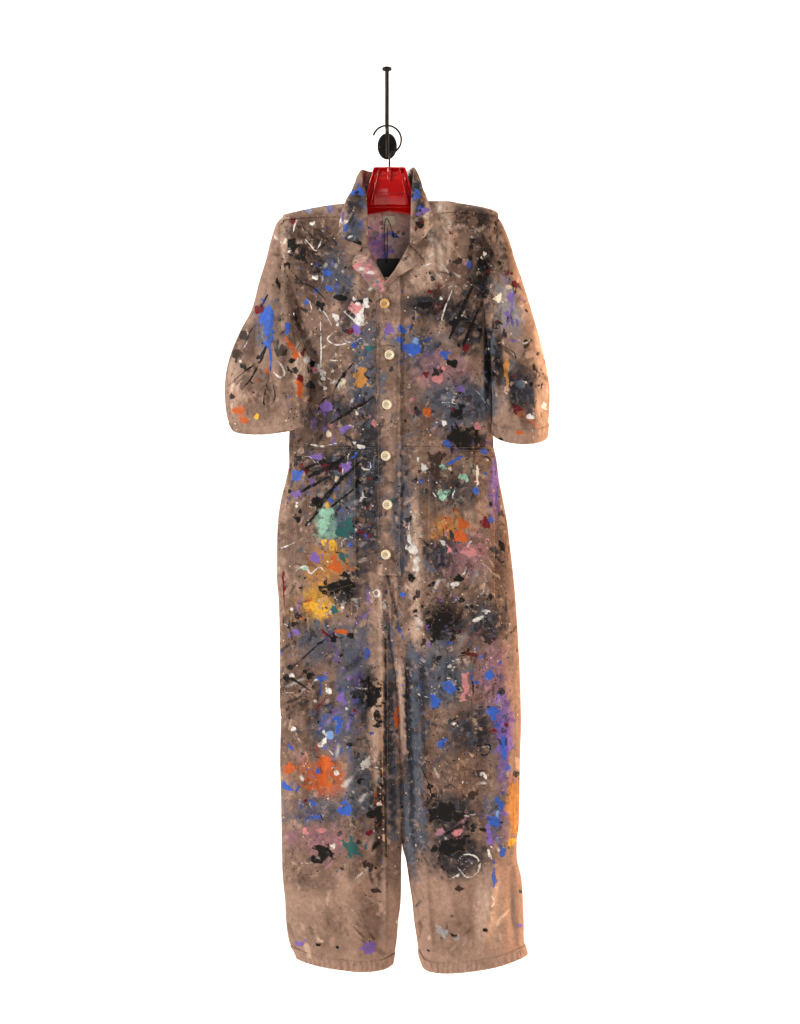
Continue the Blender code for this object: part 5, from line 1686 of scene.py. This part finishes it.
def make_hanger():
    """A moulded hanger: a thin web inside a raised rim, with two leaning ribs and a socket for the wire."""
    half = smooth_line(HANGER_OUTLINE, 5)
    outline = np.concatenate([half, (half * np.array([-1, 1]))[-2:0:-1]])
    rim = []
    for distance, y in HANGER_RIM:
        line = inset(outline, distance)
        rim.append(stacked(HANGER_X + line[:, 0], HANG_Y + y, line[:, 1]))
    rim = np.stack(rim, axis=1)
    parts = [(rim.reshape(-1, 3), ring_faces(rim.shape[0], rim.shape[1]), 0)]
    parts.append((*hanger_web(half, 0.0011), 0))
    for side in (-1, 1):
        rib = np.array([(side * 0.0190, -0.0515), (side * 0.0250, -0.078), (side * 0.0350, -0.1175)])
        line = smooth_line(rib, 6)
        path = stacked(HANGER_X + line[:, 0], HANG_Y - 0.0030, line[:, 1])
        parts.append((*tube_mesh(path, 0.0016, 12), 0))
    for z, reach in ((-0.0975, 0.026), (-0.1235, 0.040)):
        path = stacked(HANGER_X + np.linspace(-reach, reach, 8), HANG_Y - 0.0026, z)
        parts.append((*tube_mesh(path, 0.0013, 12), 0))
    profile = ((0.0021, 0.0005), (0.0050, 0.0), (0.0054, -0.001), (0.0046, -0.024), (0.0012, -0.027))
    socket = turned_points(profile, 28)
    socket += np.array([HANGER_X, HANG_Y, -0.0490])
    parts.append((socket.reshape(-1, 3), grid_faces(5, 28, True), 0))
    points, faces, _ = joined(parts)
    hanger = mesh_object("hanger_plastic_body", points, faces, [MATERIALS["red_plastic"]])
    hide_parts("hanger_body")
    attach(hanger, "garment")


def hanger_web(half, thickness):
    """The thin plate inside the rim: closed strips between the upper and the lower edge of each arm."""
    tip = int(np.argmax(half[:, 0]))
    upper = half[: tip + 1]
    lower = half[tip:][::-1]
    x = np.linspace(0.0, half[tip, 0] - 0.002, 60)
    climb = np.maximum.accumulate(upper[:, 0])
    top = np.interp(x, climb + np.arange(len(climb)) * 1e-7, upper[:, 1]) - 0.0015
    order = np.maximum.accumulate(lower[:, 0])
    bottom = np.interp(x, order + np.arange(len(order)) * 1e-7, lower[:, 1]) + 0.0015
    x = np.concatenate([-x[:0:-1], x])
    top = np.concatenate([top[:0:-1], top])
    bottom = np.concatenate([bottom[:0:-1], bottom])
    ring = []
    for y, z in ((-thickness, top), (-thickness, bottom), (thickness, bottom), (thickness, top)):
        ring.append(np.stack([HANGER_X + x, np.full(len(x), HANG_Y + y), z], axis=1))
    web = np.stack(ring, axis=1)
    return web.reshape(-1, 3), grid_faces(len(x), 4, True)


def inset(outline, distance):
    """A closed outline moved inwards."""
    step = np.roll(outline, -1, axis=0) - np.roll(outline, 1, axis=0)
    step /= np.linalg.norm(step, axis=1)[:, None]
    inward = np.stack([step[:, 1], -step[:, 0]], axis=1)
    return outline + inward * distance


def ring_faces(rows, columns):
    """Quads of a grid closed both ways."""
    row = np.arange(rows)[:, None]
    column = np.arange(columns)[None, :]
    below = (row + 1) % rows
    after = (column + 1) % columns
    here, beside = row * columns + column, row * columns + after
    under, opposite = below * columns + column, below * columns + after
    return np.stack([here, under, opposite, beside], axis=-1).reshape(-1, 4)


def make_hook():
    """The bent iron arm and the hanger's wire, as smooth tubes."""
    arm_radius = 0.0037
    on_plate = -0.003 - arm_radius - 0.0004
    arm = (
        (0.0, on_plate, -0.0205), (0.0, on_plate, -0.004), (0.0, on_plate - 0.0005, 0.012),
        (0.0, -0.0155, 0.0262),
        (0.0, -0.034, 0.0292), (0.0, -0.054, 0.0243), (0.0, HANG_Y, 0.0219), (0.0, -0.0875, 0.0262),
        (0.0, -0.0963, 0.041), (0.0, -0.098, 0.062), (0.0, -0.098, 0.092), (0.0, -0.098, 0.1227),
    )
    rod = curve_tube("iron_arm", smooth_line(arm, 8), arm_radius, MATERIALS["iron"])
    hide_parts("hook_arm")
    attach(rod, "wall_hook")
    radius = 0.00185
    ring_radius = 0.0263
    centre = np.array([0.0, HANG_Y, 0.0219 + arm_radius + 0.0004 + radius - ring_radius])
    angles = np.radians(np.linspace(163, -66, 60))
    ring = centre + ring_radius * np.stack([np.cos(angles), 0 * angles, np.sin(angles)], axis=1)
    stem = [(HANGER_X, HANG_Y, z) for z in (-0.0310, -0.0400, -0.0700)]
    stem = [ring[-1], (HANGER_X + 0.0008, HANG_Y, -0.0268), *stem]
    path = np.concatenate([ring, smooth_line(stem, 6)[1:]])
    wire = curve_tube("wire_hook", path, radius, MATERIALS["wire"])
    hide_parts("hanger_hook")
    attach(wire, "hanger_wire")


def make_loop():
    """The cream tape loop sewn inside the back of the neck."""
    low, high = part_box("neck_loop")
    across = np.linspace(0, 1, 30)[None, :]
    z = mix(high.z, low.z, np.linspace(0, 1, 18))[:, None]
    x = mix(low.x, high.x, across)
    bow = 0.0011 * np.sin(across * math.pi) + 0.0003 * np.sin(z * 1500)
    y = (low.y + high.y) / 2 - bow + 0 * z
    faces = grid_faces(18, 30)
    loop = mesh_object("neck_tape", stacked(x, y, z).reshape(-1, 3), faces, [MATERIALS["tape"]])
    thick = loop.modifiers.new("Tape", "SOLIDIFY")
    thick.thickness = 0.0009
    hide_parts("neck_loop")
    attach(loop, "garment")


def string_route():
    """The doubled string: from its upper free end over the loop, down, through the tag and up again."""
    tag_y = (TAG_LOW.y + TAG_HIGH.y) / 2
    y = tag_y - 0.0022
    return (
        (0.0125, y - 0.001, -0.1775), (0.0085, y - 0.0012, -0.162), (0.0045, y - 0.001, -0.150),
        (0.0005, y - 0.001, -0.1425), (-0.0030, y - 0.0005, -0.1445), (-0.0046, y, -0.158),
        (-0.0048, y, -0.180), (-0.0044, y, -0.203), (-0.0034, y, -0.2155), (-0.0012, y + 0.0010, -0.2205),
        (-0.0004, tag_y, -0.2216), (-0.0002, tag_y + 0.0020, -0.2190), (0.0000, tag_y + 0.0016, -0.2145),
        (0.0003, tag_y - 0.0004, -0.2090), (0.0008, y + 0.0002, -0.195), (0.0010, y, -0.175),
        (0.0012, y + 0.0006, -0.1575),
    )


def make_tag():
    """A plain black card with a reinforced hole, on its string."""
    width = TAG_HIGH.x - TAG_LOW.x
    height = TAG_HIGH.z - TAG_LOW.z
    bm = bmesh.new()
    bmesh.ops.create_cube(bm, size=1.0)
    bmesh.ops.scale(bm, vec=(width, 0.0007, height), verts=bm.verts)
    upright = [edge for edge in bm.edges if abs(edge.verts[0].co.y - edge.verts[1].co.y) > 0.0001]
    bmesh.ops.bevel(bm, geom=upright, offset=0.0012, segments=4, affect="EDGES")
    bmesh.ops.translate(bm, vec=(TAG_LOW + TAG_HIGH) / 2, verts=bm.verts)
    mesh = bpy.data.meshes.new("hang_tag")
    bm.to_mesh(mesh)
    bm.free()
    mesh.materials.append(MATERIALS["card"])
    card = bpy.data.objects.new("hang_tag", mesh)
    bpy.context.scene.collection.objects.link(card)
    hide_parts("swing_tag")
    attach(card, "tag")
    hole = (-0.0005, TAG_LOW.y - 0.0001, TAG_HIGH.z - 0.006)
    eyelet = curve_ring("tag_eyelet", hole, 0.0026, 0.0005, MATERIALS["wire"])
    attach(eyelet, "tag")
    string = curve_tube("tag_cord", smooth_line(string_route(), 6), 0.0007, MATERIALS["string"], 3)
    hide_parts("tag_string")
    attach(string, "tag")


def curve_ring(name, centre, radius, thickness, material):
    angle = np.linspace(0, 2 * math.pi, 33)
    line = np.array(centre) + radius * np.stack([np.cos(angle), 0 * angle, np.sin(angle)], axis=1)
    return curve_tube(name, line, thickness, material, 3)


# Materials


def new_material(name):
    material = bpy.data.materials.new(name)
    material.use_nodes = True
    nodes = material.node_tree.nodes
    nodes.clear()
    output = nodes.new("ShaderNodeOutputMaterial")
    shader = nodes.new("ShaderNodeBsdfPrincipled")
    material.node_tree.links.new(shader.outputs["BSDF"], output.inputs["Surface"])
    return material, material.node_tree, shader


def plain_material(name, colour, roughness, metallic=0.0, bump=0.0, scale=900.0):
    """One colour with slight unevenness in its shade and its finish."""
    material, tree, shader = new_material(name)
    shader.inputs["Metallic"].default_value = metallic
    uneven = add_noise(tree, scale, 3.0).outputs["Fac"]
    shade = add_mix(tree, uneven, colour * 0.78, (colour * 1.18).clip(0, 1))
    tree.links.new(shade, shader.inputs["Base Color"])
    finish = add_range(tree, uneven, 0.2, 0.8, roughness - 0.08, roughness + 0.08)
    tree.links.new(finish, shader.inputs["Roughness"])
    if bump:
        add_bump(tree, shader, uneven, bump, 0.0004)
    return material


def add_noise(tree, scale, detail=2.0, rough=0.55):
    place = tree.nodes.new("ShaderNodeTexCoord")
    texture = tree.nodes.new("ShaderNodeTexNoise")
    texture.inputs["Scale"].default_value = scale
    texture.inputs["Detail"].default_value = detail
    texture.inputs["Roughness"].default_value = rough
    tree.links.new(place.outputs["Object"], texture.inputs["Vector"])
    return texture


def add_range(tree, value, low, high, to_low, to_high):
    node = tree.nodes.new("ShaderNodeMapRange")
    node.inputs["From Min"].default_value = low
    node.inputs["From Max"].default_value = high
    node.inputs["To Min"].default_value = to_low
    node.inputs["To Max"].default_value = to_high
    tree.links.new(value, node.inputs["Value"])
    return node.outputs["Result"]


def add_math(tree, operation, a, b):
    node = tree.nodes.new("ShaderNodeMath")
    node.operation = operation
    for socket, value in zip(node.inputs, (a, b)):
        if isinstance(value, (int, float)):
            socket.default_value = value
        else:
            tree.links.new(value, socket)
    return node.outputs["Value"]


def add_mix(tree, factor, a, b, blend="MIX"):
    node = tree.nodes.new("ShaderNodeMix")
    node.data_type = "RGBA"
    node.blend_type = blend
    for key, value in (("Factor", factor), ("A", a), ("B", b)):
        socket = node.inputs[key]
        if isinstance(value, bpy.types.NodeSocket):
            tree.links.new(value, socket)
        elif key == "Factor":
            socket.default_value = value
        else:
            socket.default_value = (*value, 1)
    return node.outputs["Result"]


def add_bump(tree, shader, height, strength, distance):
    bump = tree.nodes.new("ShaderNodeBump")
    bump.inputs["Strength"].default_value = strength
    bump.inputs["Distance"].default_value = distance
    tree.links.new(height, bump.inputs["Height"])
    tree.links.new(bump.outputs["Normal"], shader.inputs["Normal"])


def add_attribute(tree, name, output):
    node = tree.nodes.new("ShaderNodeAttribute")
    node.attribute_name = name
    return node.outputs[output]


def add_weave(tree):
    """Fine warp and weft, as one height."""
    place = tree.nodes.new("ShaderNodeTexCoord")
    waves = []
    for direction in ("X", "Z"):
        wave = tree.nodes.new("ShaderNodeTexWave")
        wave.bands_direction = direction
        wave.inputs["Scale"].default_value = 330.0
        wave.inputs["Distortion"].default_value = 1.2
        wave.inputs["Detail"].default_value = 1.0
        tree.links.new(place.outputs["Object"], wave.inputs["Vector"])
        waves.append(wave.outputs["Fac"])
    return add_math(tree, "MULTIPLY", waves[0], waves[1])


def canvas_material(name, worn=0.0):
    """Cotton that shows its soaked-in stains and, on top, thicker paint with a sharp edge."""
    material, tree, shader = new_material(name)
    weave = add_weave(tree)
    mottle = add_noise(tree, 26.0, 6.0, 0.6).outputs["Fac"]
    fine = add_noise(tree, 420.0, 4.0, 0.65).outputs["Fac"]
    medium = add_noise(tree, 120.0, 5.0, 0.7).outputs["Fac"]
    shade = add_range(tree, mottle, 0.25, 0.75, 0.78, 1.12)
    for value, limits in (
        (medium, (0.30, 0.70, 0.72, 1.16)), (fine, (0.2, 0.8, 0.80, 1.16)), (weave, (0.0, 1.0, 0.88, 1.05)),
    ):
        shade = add_math(tree, "MULTIPLY", shade, add_range(tree, value, *limits))
    ground = add_mix(tree, 1.0, add_attribute(tree, "ground", "Color"), shade, "MULTIPLY")
    ground = add_grime(tree, ground, add_attribute(tree, "specks", "Fac"))
    speck = add_specks(tree)
    edge = add_attribute(tree, "cover", "Fac")
    for value, reach in ((fine, 0.35), (medium, 0.55)):
        jitter = add_math(tree, "MULTIPLY", add_math(tree, "SUBTRACT", value, 0.5), reach)
        edge = add_math(tree, "ADD", edge, jitter)
    cover = add_range(tree, edge, 0.43, 0.57, 0.0, 1.0 - worn)
    cover = add_math(tree, "MULTIPLY", cover, add_range(tree, medium, 0.36, 0.46, 0.45, 1.0))
    uneven = add_range(tree, medium, 0.30, 0.70, 0.66, 1.16)
    paint = add_mix(tree, 1.0, add_attribute(tree, "paint", "Color"), uneven, "MULTIPLY")
    speckled = add_mix(tree, speck[1], ground, speck[0])
    colour = add_mix(tree, cover, speckled, paint)
    tree.links.new(colour, shader.inputs["Base Color"])
    finish = add_range(tree, cover, 0.0, 1.0, 0.92, 0.52)
    tree.links.new(finish, shader.inputs["Roughness"])
    shader.inputs["Specular IOR Level"].default_value = 0.12
    shader.inputs["Sheen Weight"].default_value = 0.03
    shader.inputs["Sheen Roughness"].default_value = 0.5
    height = add_math(tree, "MULTIPLY", weave, 0.35)
    for value, share in ((cover, 0.8), (fine, 0.5)):
        height = add_math(tree, "ADD", height, add_math(tree, "MULTIPLY", value, share))
    add_bump(tree, shader, height, 0.55, 0.0005)
    return material


def add_grime(tree, ground, dirt):
    """Scuffs finer than the canvas: dark ones rubbed in and pale ones worn through."""
    for scale, low, high, most, colour in GRIME:
        scuff = add_range(tree, add_noise(tree, scale, 9.0, 0.72).outputs["Fac"], low, high, 0.0, most)
        ground = add_mix(tree, add_math(tree, "MULTIPLY", scuff, dirt), ground, COLOURS[colour])
    return ground


# Scuffs as noise scale, threshold, full strength at, most strength and colour
GRIME = (
    (48.0, 0.54, 0.66, 0.62, "charcoal"),
    (64.0, 0.56, 0.66, 0.50, "light_tan"),
    (170.0, 0.60, 0.64, 0.85, "black"),
)


def add_specks(tree):
    """Tiny specks of flicked paint, too fine for the canvas: their colour and where they are."""
    place = tree.nodes.new("ShaderNodeTexCoord")
    cells = tree.nodes.new("ShaderNodeTexVoronoi")
    cells.inputs["Scale"].default_value = 170.0
    cells.inputs["Randomness"].default_value = 1.0
    tree.links.new(place.outputs["Object"], cells.inputs["Vector"])
    split = tree.nodes.new("ShaderNodeSeparateColor")
    tree.links.new(cells.outputs["Color"], split.inputs["Color"])
    ramp = tree.nodes.new("ShaderNodeValToRGB")
    ramp.color_ramp.interpolation = "CONSTANT"
    names = "black charcoal black dark_red black cream dark_brown blue black light_tan".split()
    elements = ramp.color_ramp.elements
    while len(elements) < len(names):
        elements.new(0.5)
    for number, (element, colour) in enumerate(zip(elements, names)):
        element.position = number / len(names)
        element.color = (*COLOURS[colour], 1)
    tree.links.new(split.outputs["Red"], ramp.inputs["Fac"])
    size = add_range(tree, split.outputs["Green"], 0.45, 1.0, 0.0, 0.27)
    size = add_math(tree, "MULTIPLY", size, add_attribute(tree, "specks", "Fac"))
    inside = add_math(tree, "SUBTRACT", size, cells.outputs["Distance"])
    return ramp.outputs["Color"], add_range(tree, inside, -0.02, 0.02, 0.0, 1.0)


def plastic_material():
    """Clear red plastic."""
    material, tree, shader = new_material("red_plastic")
    shader.inputs["Base Color"].default_value = (*srgb(196, 10, 8), 1)
    shader.inputs["Roughness"].default_value = 0.10
    shader.inputs["Transmission Weight"].default_value = 0.45
    shader.inputs["IOR"].default_value = 1.46
    texture = add_noise(tree, 60.0, 2.0)
    add_bump(tree, shader, texture.outputs["Fac"], 0.12, 0.0008)
    return material


def make_materials():
    return {
        "canvas": canvas_material("painted_canvas"),
        "lining": canvas_material("canvas_inside", 0.45),
        "button": plain_material("horn", srgb(214, 196, 164), 0.38, bump=0.2, scale=240.0),
        "button_gold": plain_material("horn_gold", srgb(192, 152, 92), 0.36, bump=0.2, scale=240.0),
        "painted_hole_shade": plain_material("shade_in_button_holes", srgb(38, 28, 22), 0.8),
        "thread": plain_material("thread", srgb(138, 114, 96), 0.85, bump=0.3, scale=1800.0),
        "red_plastic": plastic_material(),
        "wire": plain_material("black_wire", srgb(14, 13, 13), 0.34, 0.6, 0.15),
        "iron": plain_material("forged_iron", srgb(26, 23, 22), 0.46, 0.7, 0.35, 420.0),
        "tape": plain_material("loop_tape", srgb(222, 206, 180), 0.85, bump=0.5, scale=1500.0),
        "card": plain_material("tag_card", srgb(22, 22, 24), 0.55, bump=0.1),
        "string": plain_material("black_string", srgb(18, 17, 18), 0.8, bump=0.6, scale=2600.0),
    }


# Stage, light and camera


def make_stage():
    """A pale floor that curves up into a backdrop."""
    floor_end, sweep_radius, wall_top, half_width = 1.2, 1.6, 5.0, 9.0
    profile = [(-6.0, FLOOR_Z), (floor_end, FLOOR_Z)]
    for angle in np.radians(np.linspace(0, 90, 17)[1:]):
        y = floor_end + sweep_radius * math.sin(angle)
        profile.append((y, FLOOR_Z + sweep_radius * (1 - math.cos(angle))))
    profile.append((floor_end + sweep_radius, wall_top))
    profile = np.array(profile)
    x = np.linspace(-half_width, half_width, 3)[None, :]
    points = stacked(x, profile[:, :1], profile[:, 1:])
    material, tree, shader = new_material("studio_white")
    shader.inputs["Base Color"].default_value = (0.93, 0.93, 0.93, 1)
    shader.inputs["Roughness"].default_value = 0.9
    see_through_from_behind(tree, shader)
    sweep = mesh_object("backdrop", points.reshape(-1, 3), grid_faces(len(profile), 3)[:, ::-1], [material])


def see_through_from_behind(tree, shader):
    """The backdrop is white on its face and clear from its back, so that the garment's back can be seen."""
    side = tree.nodes.new("ShaderNodeNewGeometry")
    clear = tree.nodes.new("ShaderNodeBsdfTransparent")
    mixed = tree.nodes.new("ShaderNodeMixShader")
    tree.links.new(side.outputs["Backfacing"], mixed.inputs[0])
    tree.links.new(shader.outputs["BSDF"], mixed.inputs[1])
    tree.links.new(clear.outputs["BSDF"], mixed.inputs[2])
    tree.links.new(mixed.outputs["Shader"], tree.nodes["Material Output"].inputs["Surface"])


def area_light(name, place, target, size, power, colour):
    light = bpy.data.lights.new(name, "AREA")
    light.shape = "RECTANGLE"
    light.size, light.size_y = size
    light.energy = power
    light.color = colour
    obj = bpy.data.objects.new(name, light)
    obj.location = place
    obj.rotation_euler = (Vector(target) - Vector(place)).to_track_quat("-Z", "Y").to_euler()
    bpy.context.scene.collection.objects.link(obj)


def make_world():
    """A white surround that looks white and lights the scene only faintly."""
    world = bpy.data.worlds.new("studio")
    world.use_nodes = True
    tree = world.node_tree
    background = tree.nodes["Background"]
    background.inputs["Color"].default_value = (1.0, 1.0, 1.0, 1)
    path = tree.nodes.new("ShaderNodeLightPath")
    strength = add_range(tree, path.outputs["Is Camera Ray"], 0.0, 1.0, 0.20, 1.0)
    tree.links.new(strength, background.inputs["Strength"])
    bpy.context.scene.world = world


def make_lights():
    middle = (0.02, HANG_Y, -0.75)
    area_light("key", (-2.7, -1.5, 0.7), middle, (0.7, 1.0), 128, (1.0, 0.97, 0.93))
    area_light("fill", (1.5, -3.2, -0.2), middle, (2.0, 2.0), 36, (1.0, 0.96, 0.92))
    area_light("rim", (2.1, 0.10, -0.5), middle, (0.3, 2.2), 90, (1.0, 0.62, 0.34))
    area_light("backdrop_light", (0.0, 0.9, 2.6), (0.0, 2.6, -0.3), (4.0, 1.0), 130, (1.0, 1.0, 1.0))


def make_camera():
    camera = bpy.data.cameras.new("camera")
    camera.sensor_width = SENSOR
    camera.lens = SENSOR * CAMERA_DISTANCE / VIEW_HEIGHT
    camera.clip_end = 60.0
    obj = bpy.data.objects.new("camera", camera)
    obj.location = (CAMERA_X, HANG_Y - CAMERA_DISTANCE, CAMERA_Z)
    obj.rotation_euler = (math.radians(90), 0.0, 0.0)
    bpy.context.scene.collection.objects.link(obj)
    bpy.context.scene.camera = obj


def dress_cad():
    """The wall plate, its screws and the hook's cap are shown as they are."""
    for name in ("wall_plate", "plate_screw_left", "plate_screw_right", "hook_cap"):
        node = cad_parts[name]
        node.data.materials.clear()
        node.data.materials.append(MATERIALS["iron"])
        node.data.shade_smooth()
        corners = node.modifiers.new("Keep edges", "EDGE_SPLIT")
        corners.split_angle = math.radians(32)


MATERIALS = make_materials()
CANVASES = paint_canvases()
make_torso()
make_yoke()
make_placket()
make_collar()
make_lapel("lapel_turned_left", LEFT_LAPEL, "lapel_left")
make_lapel("lapel_turned_right", RIGHT_LAPEL, "lapel_right")
make_neck_facing()
make_trousers()
make_pockets()
make_sleeves()
make_body_stitches()
make_leg_stitches()
make_buttons()
make_hanger()
make_hook()
make_loop()
make_tag()
dress_cad()
make_stage()
make_world()
make_lights()
make_camera()
bpy.context.scene.view_settings.view_transform = "Standard"
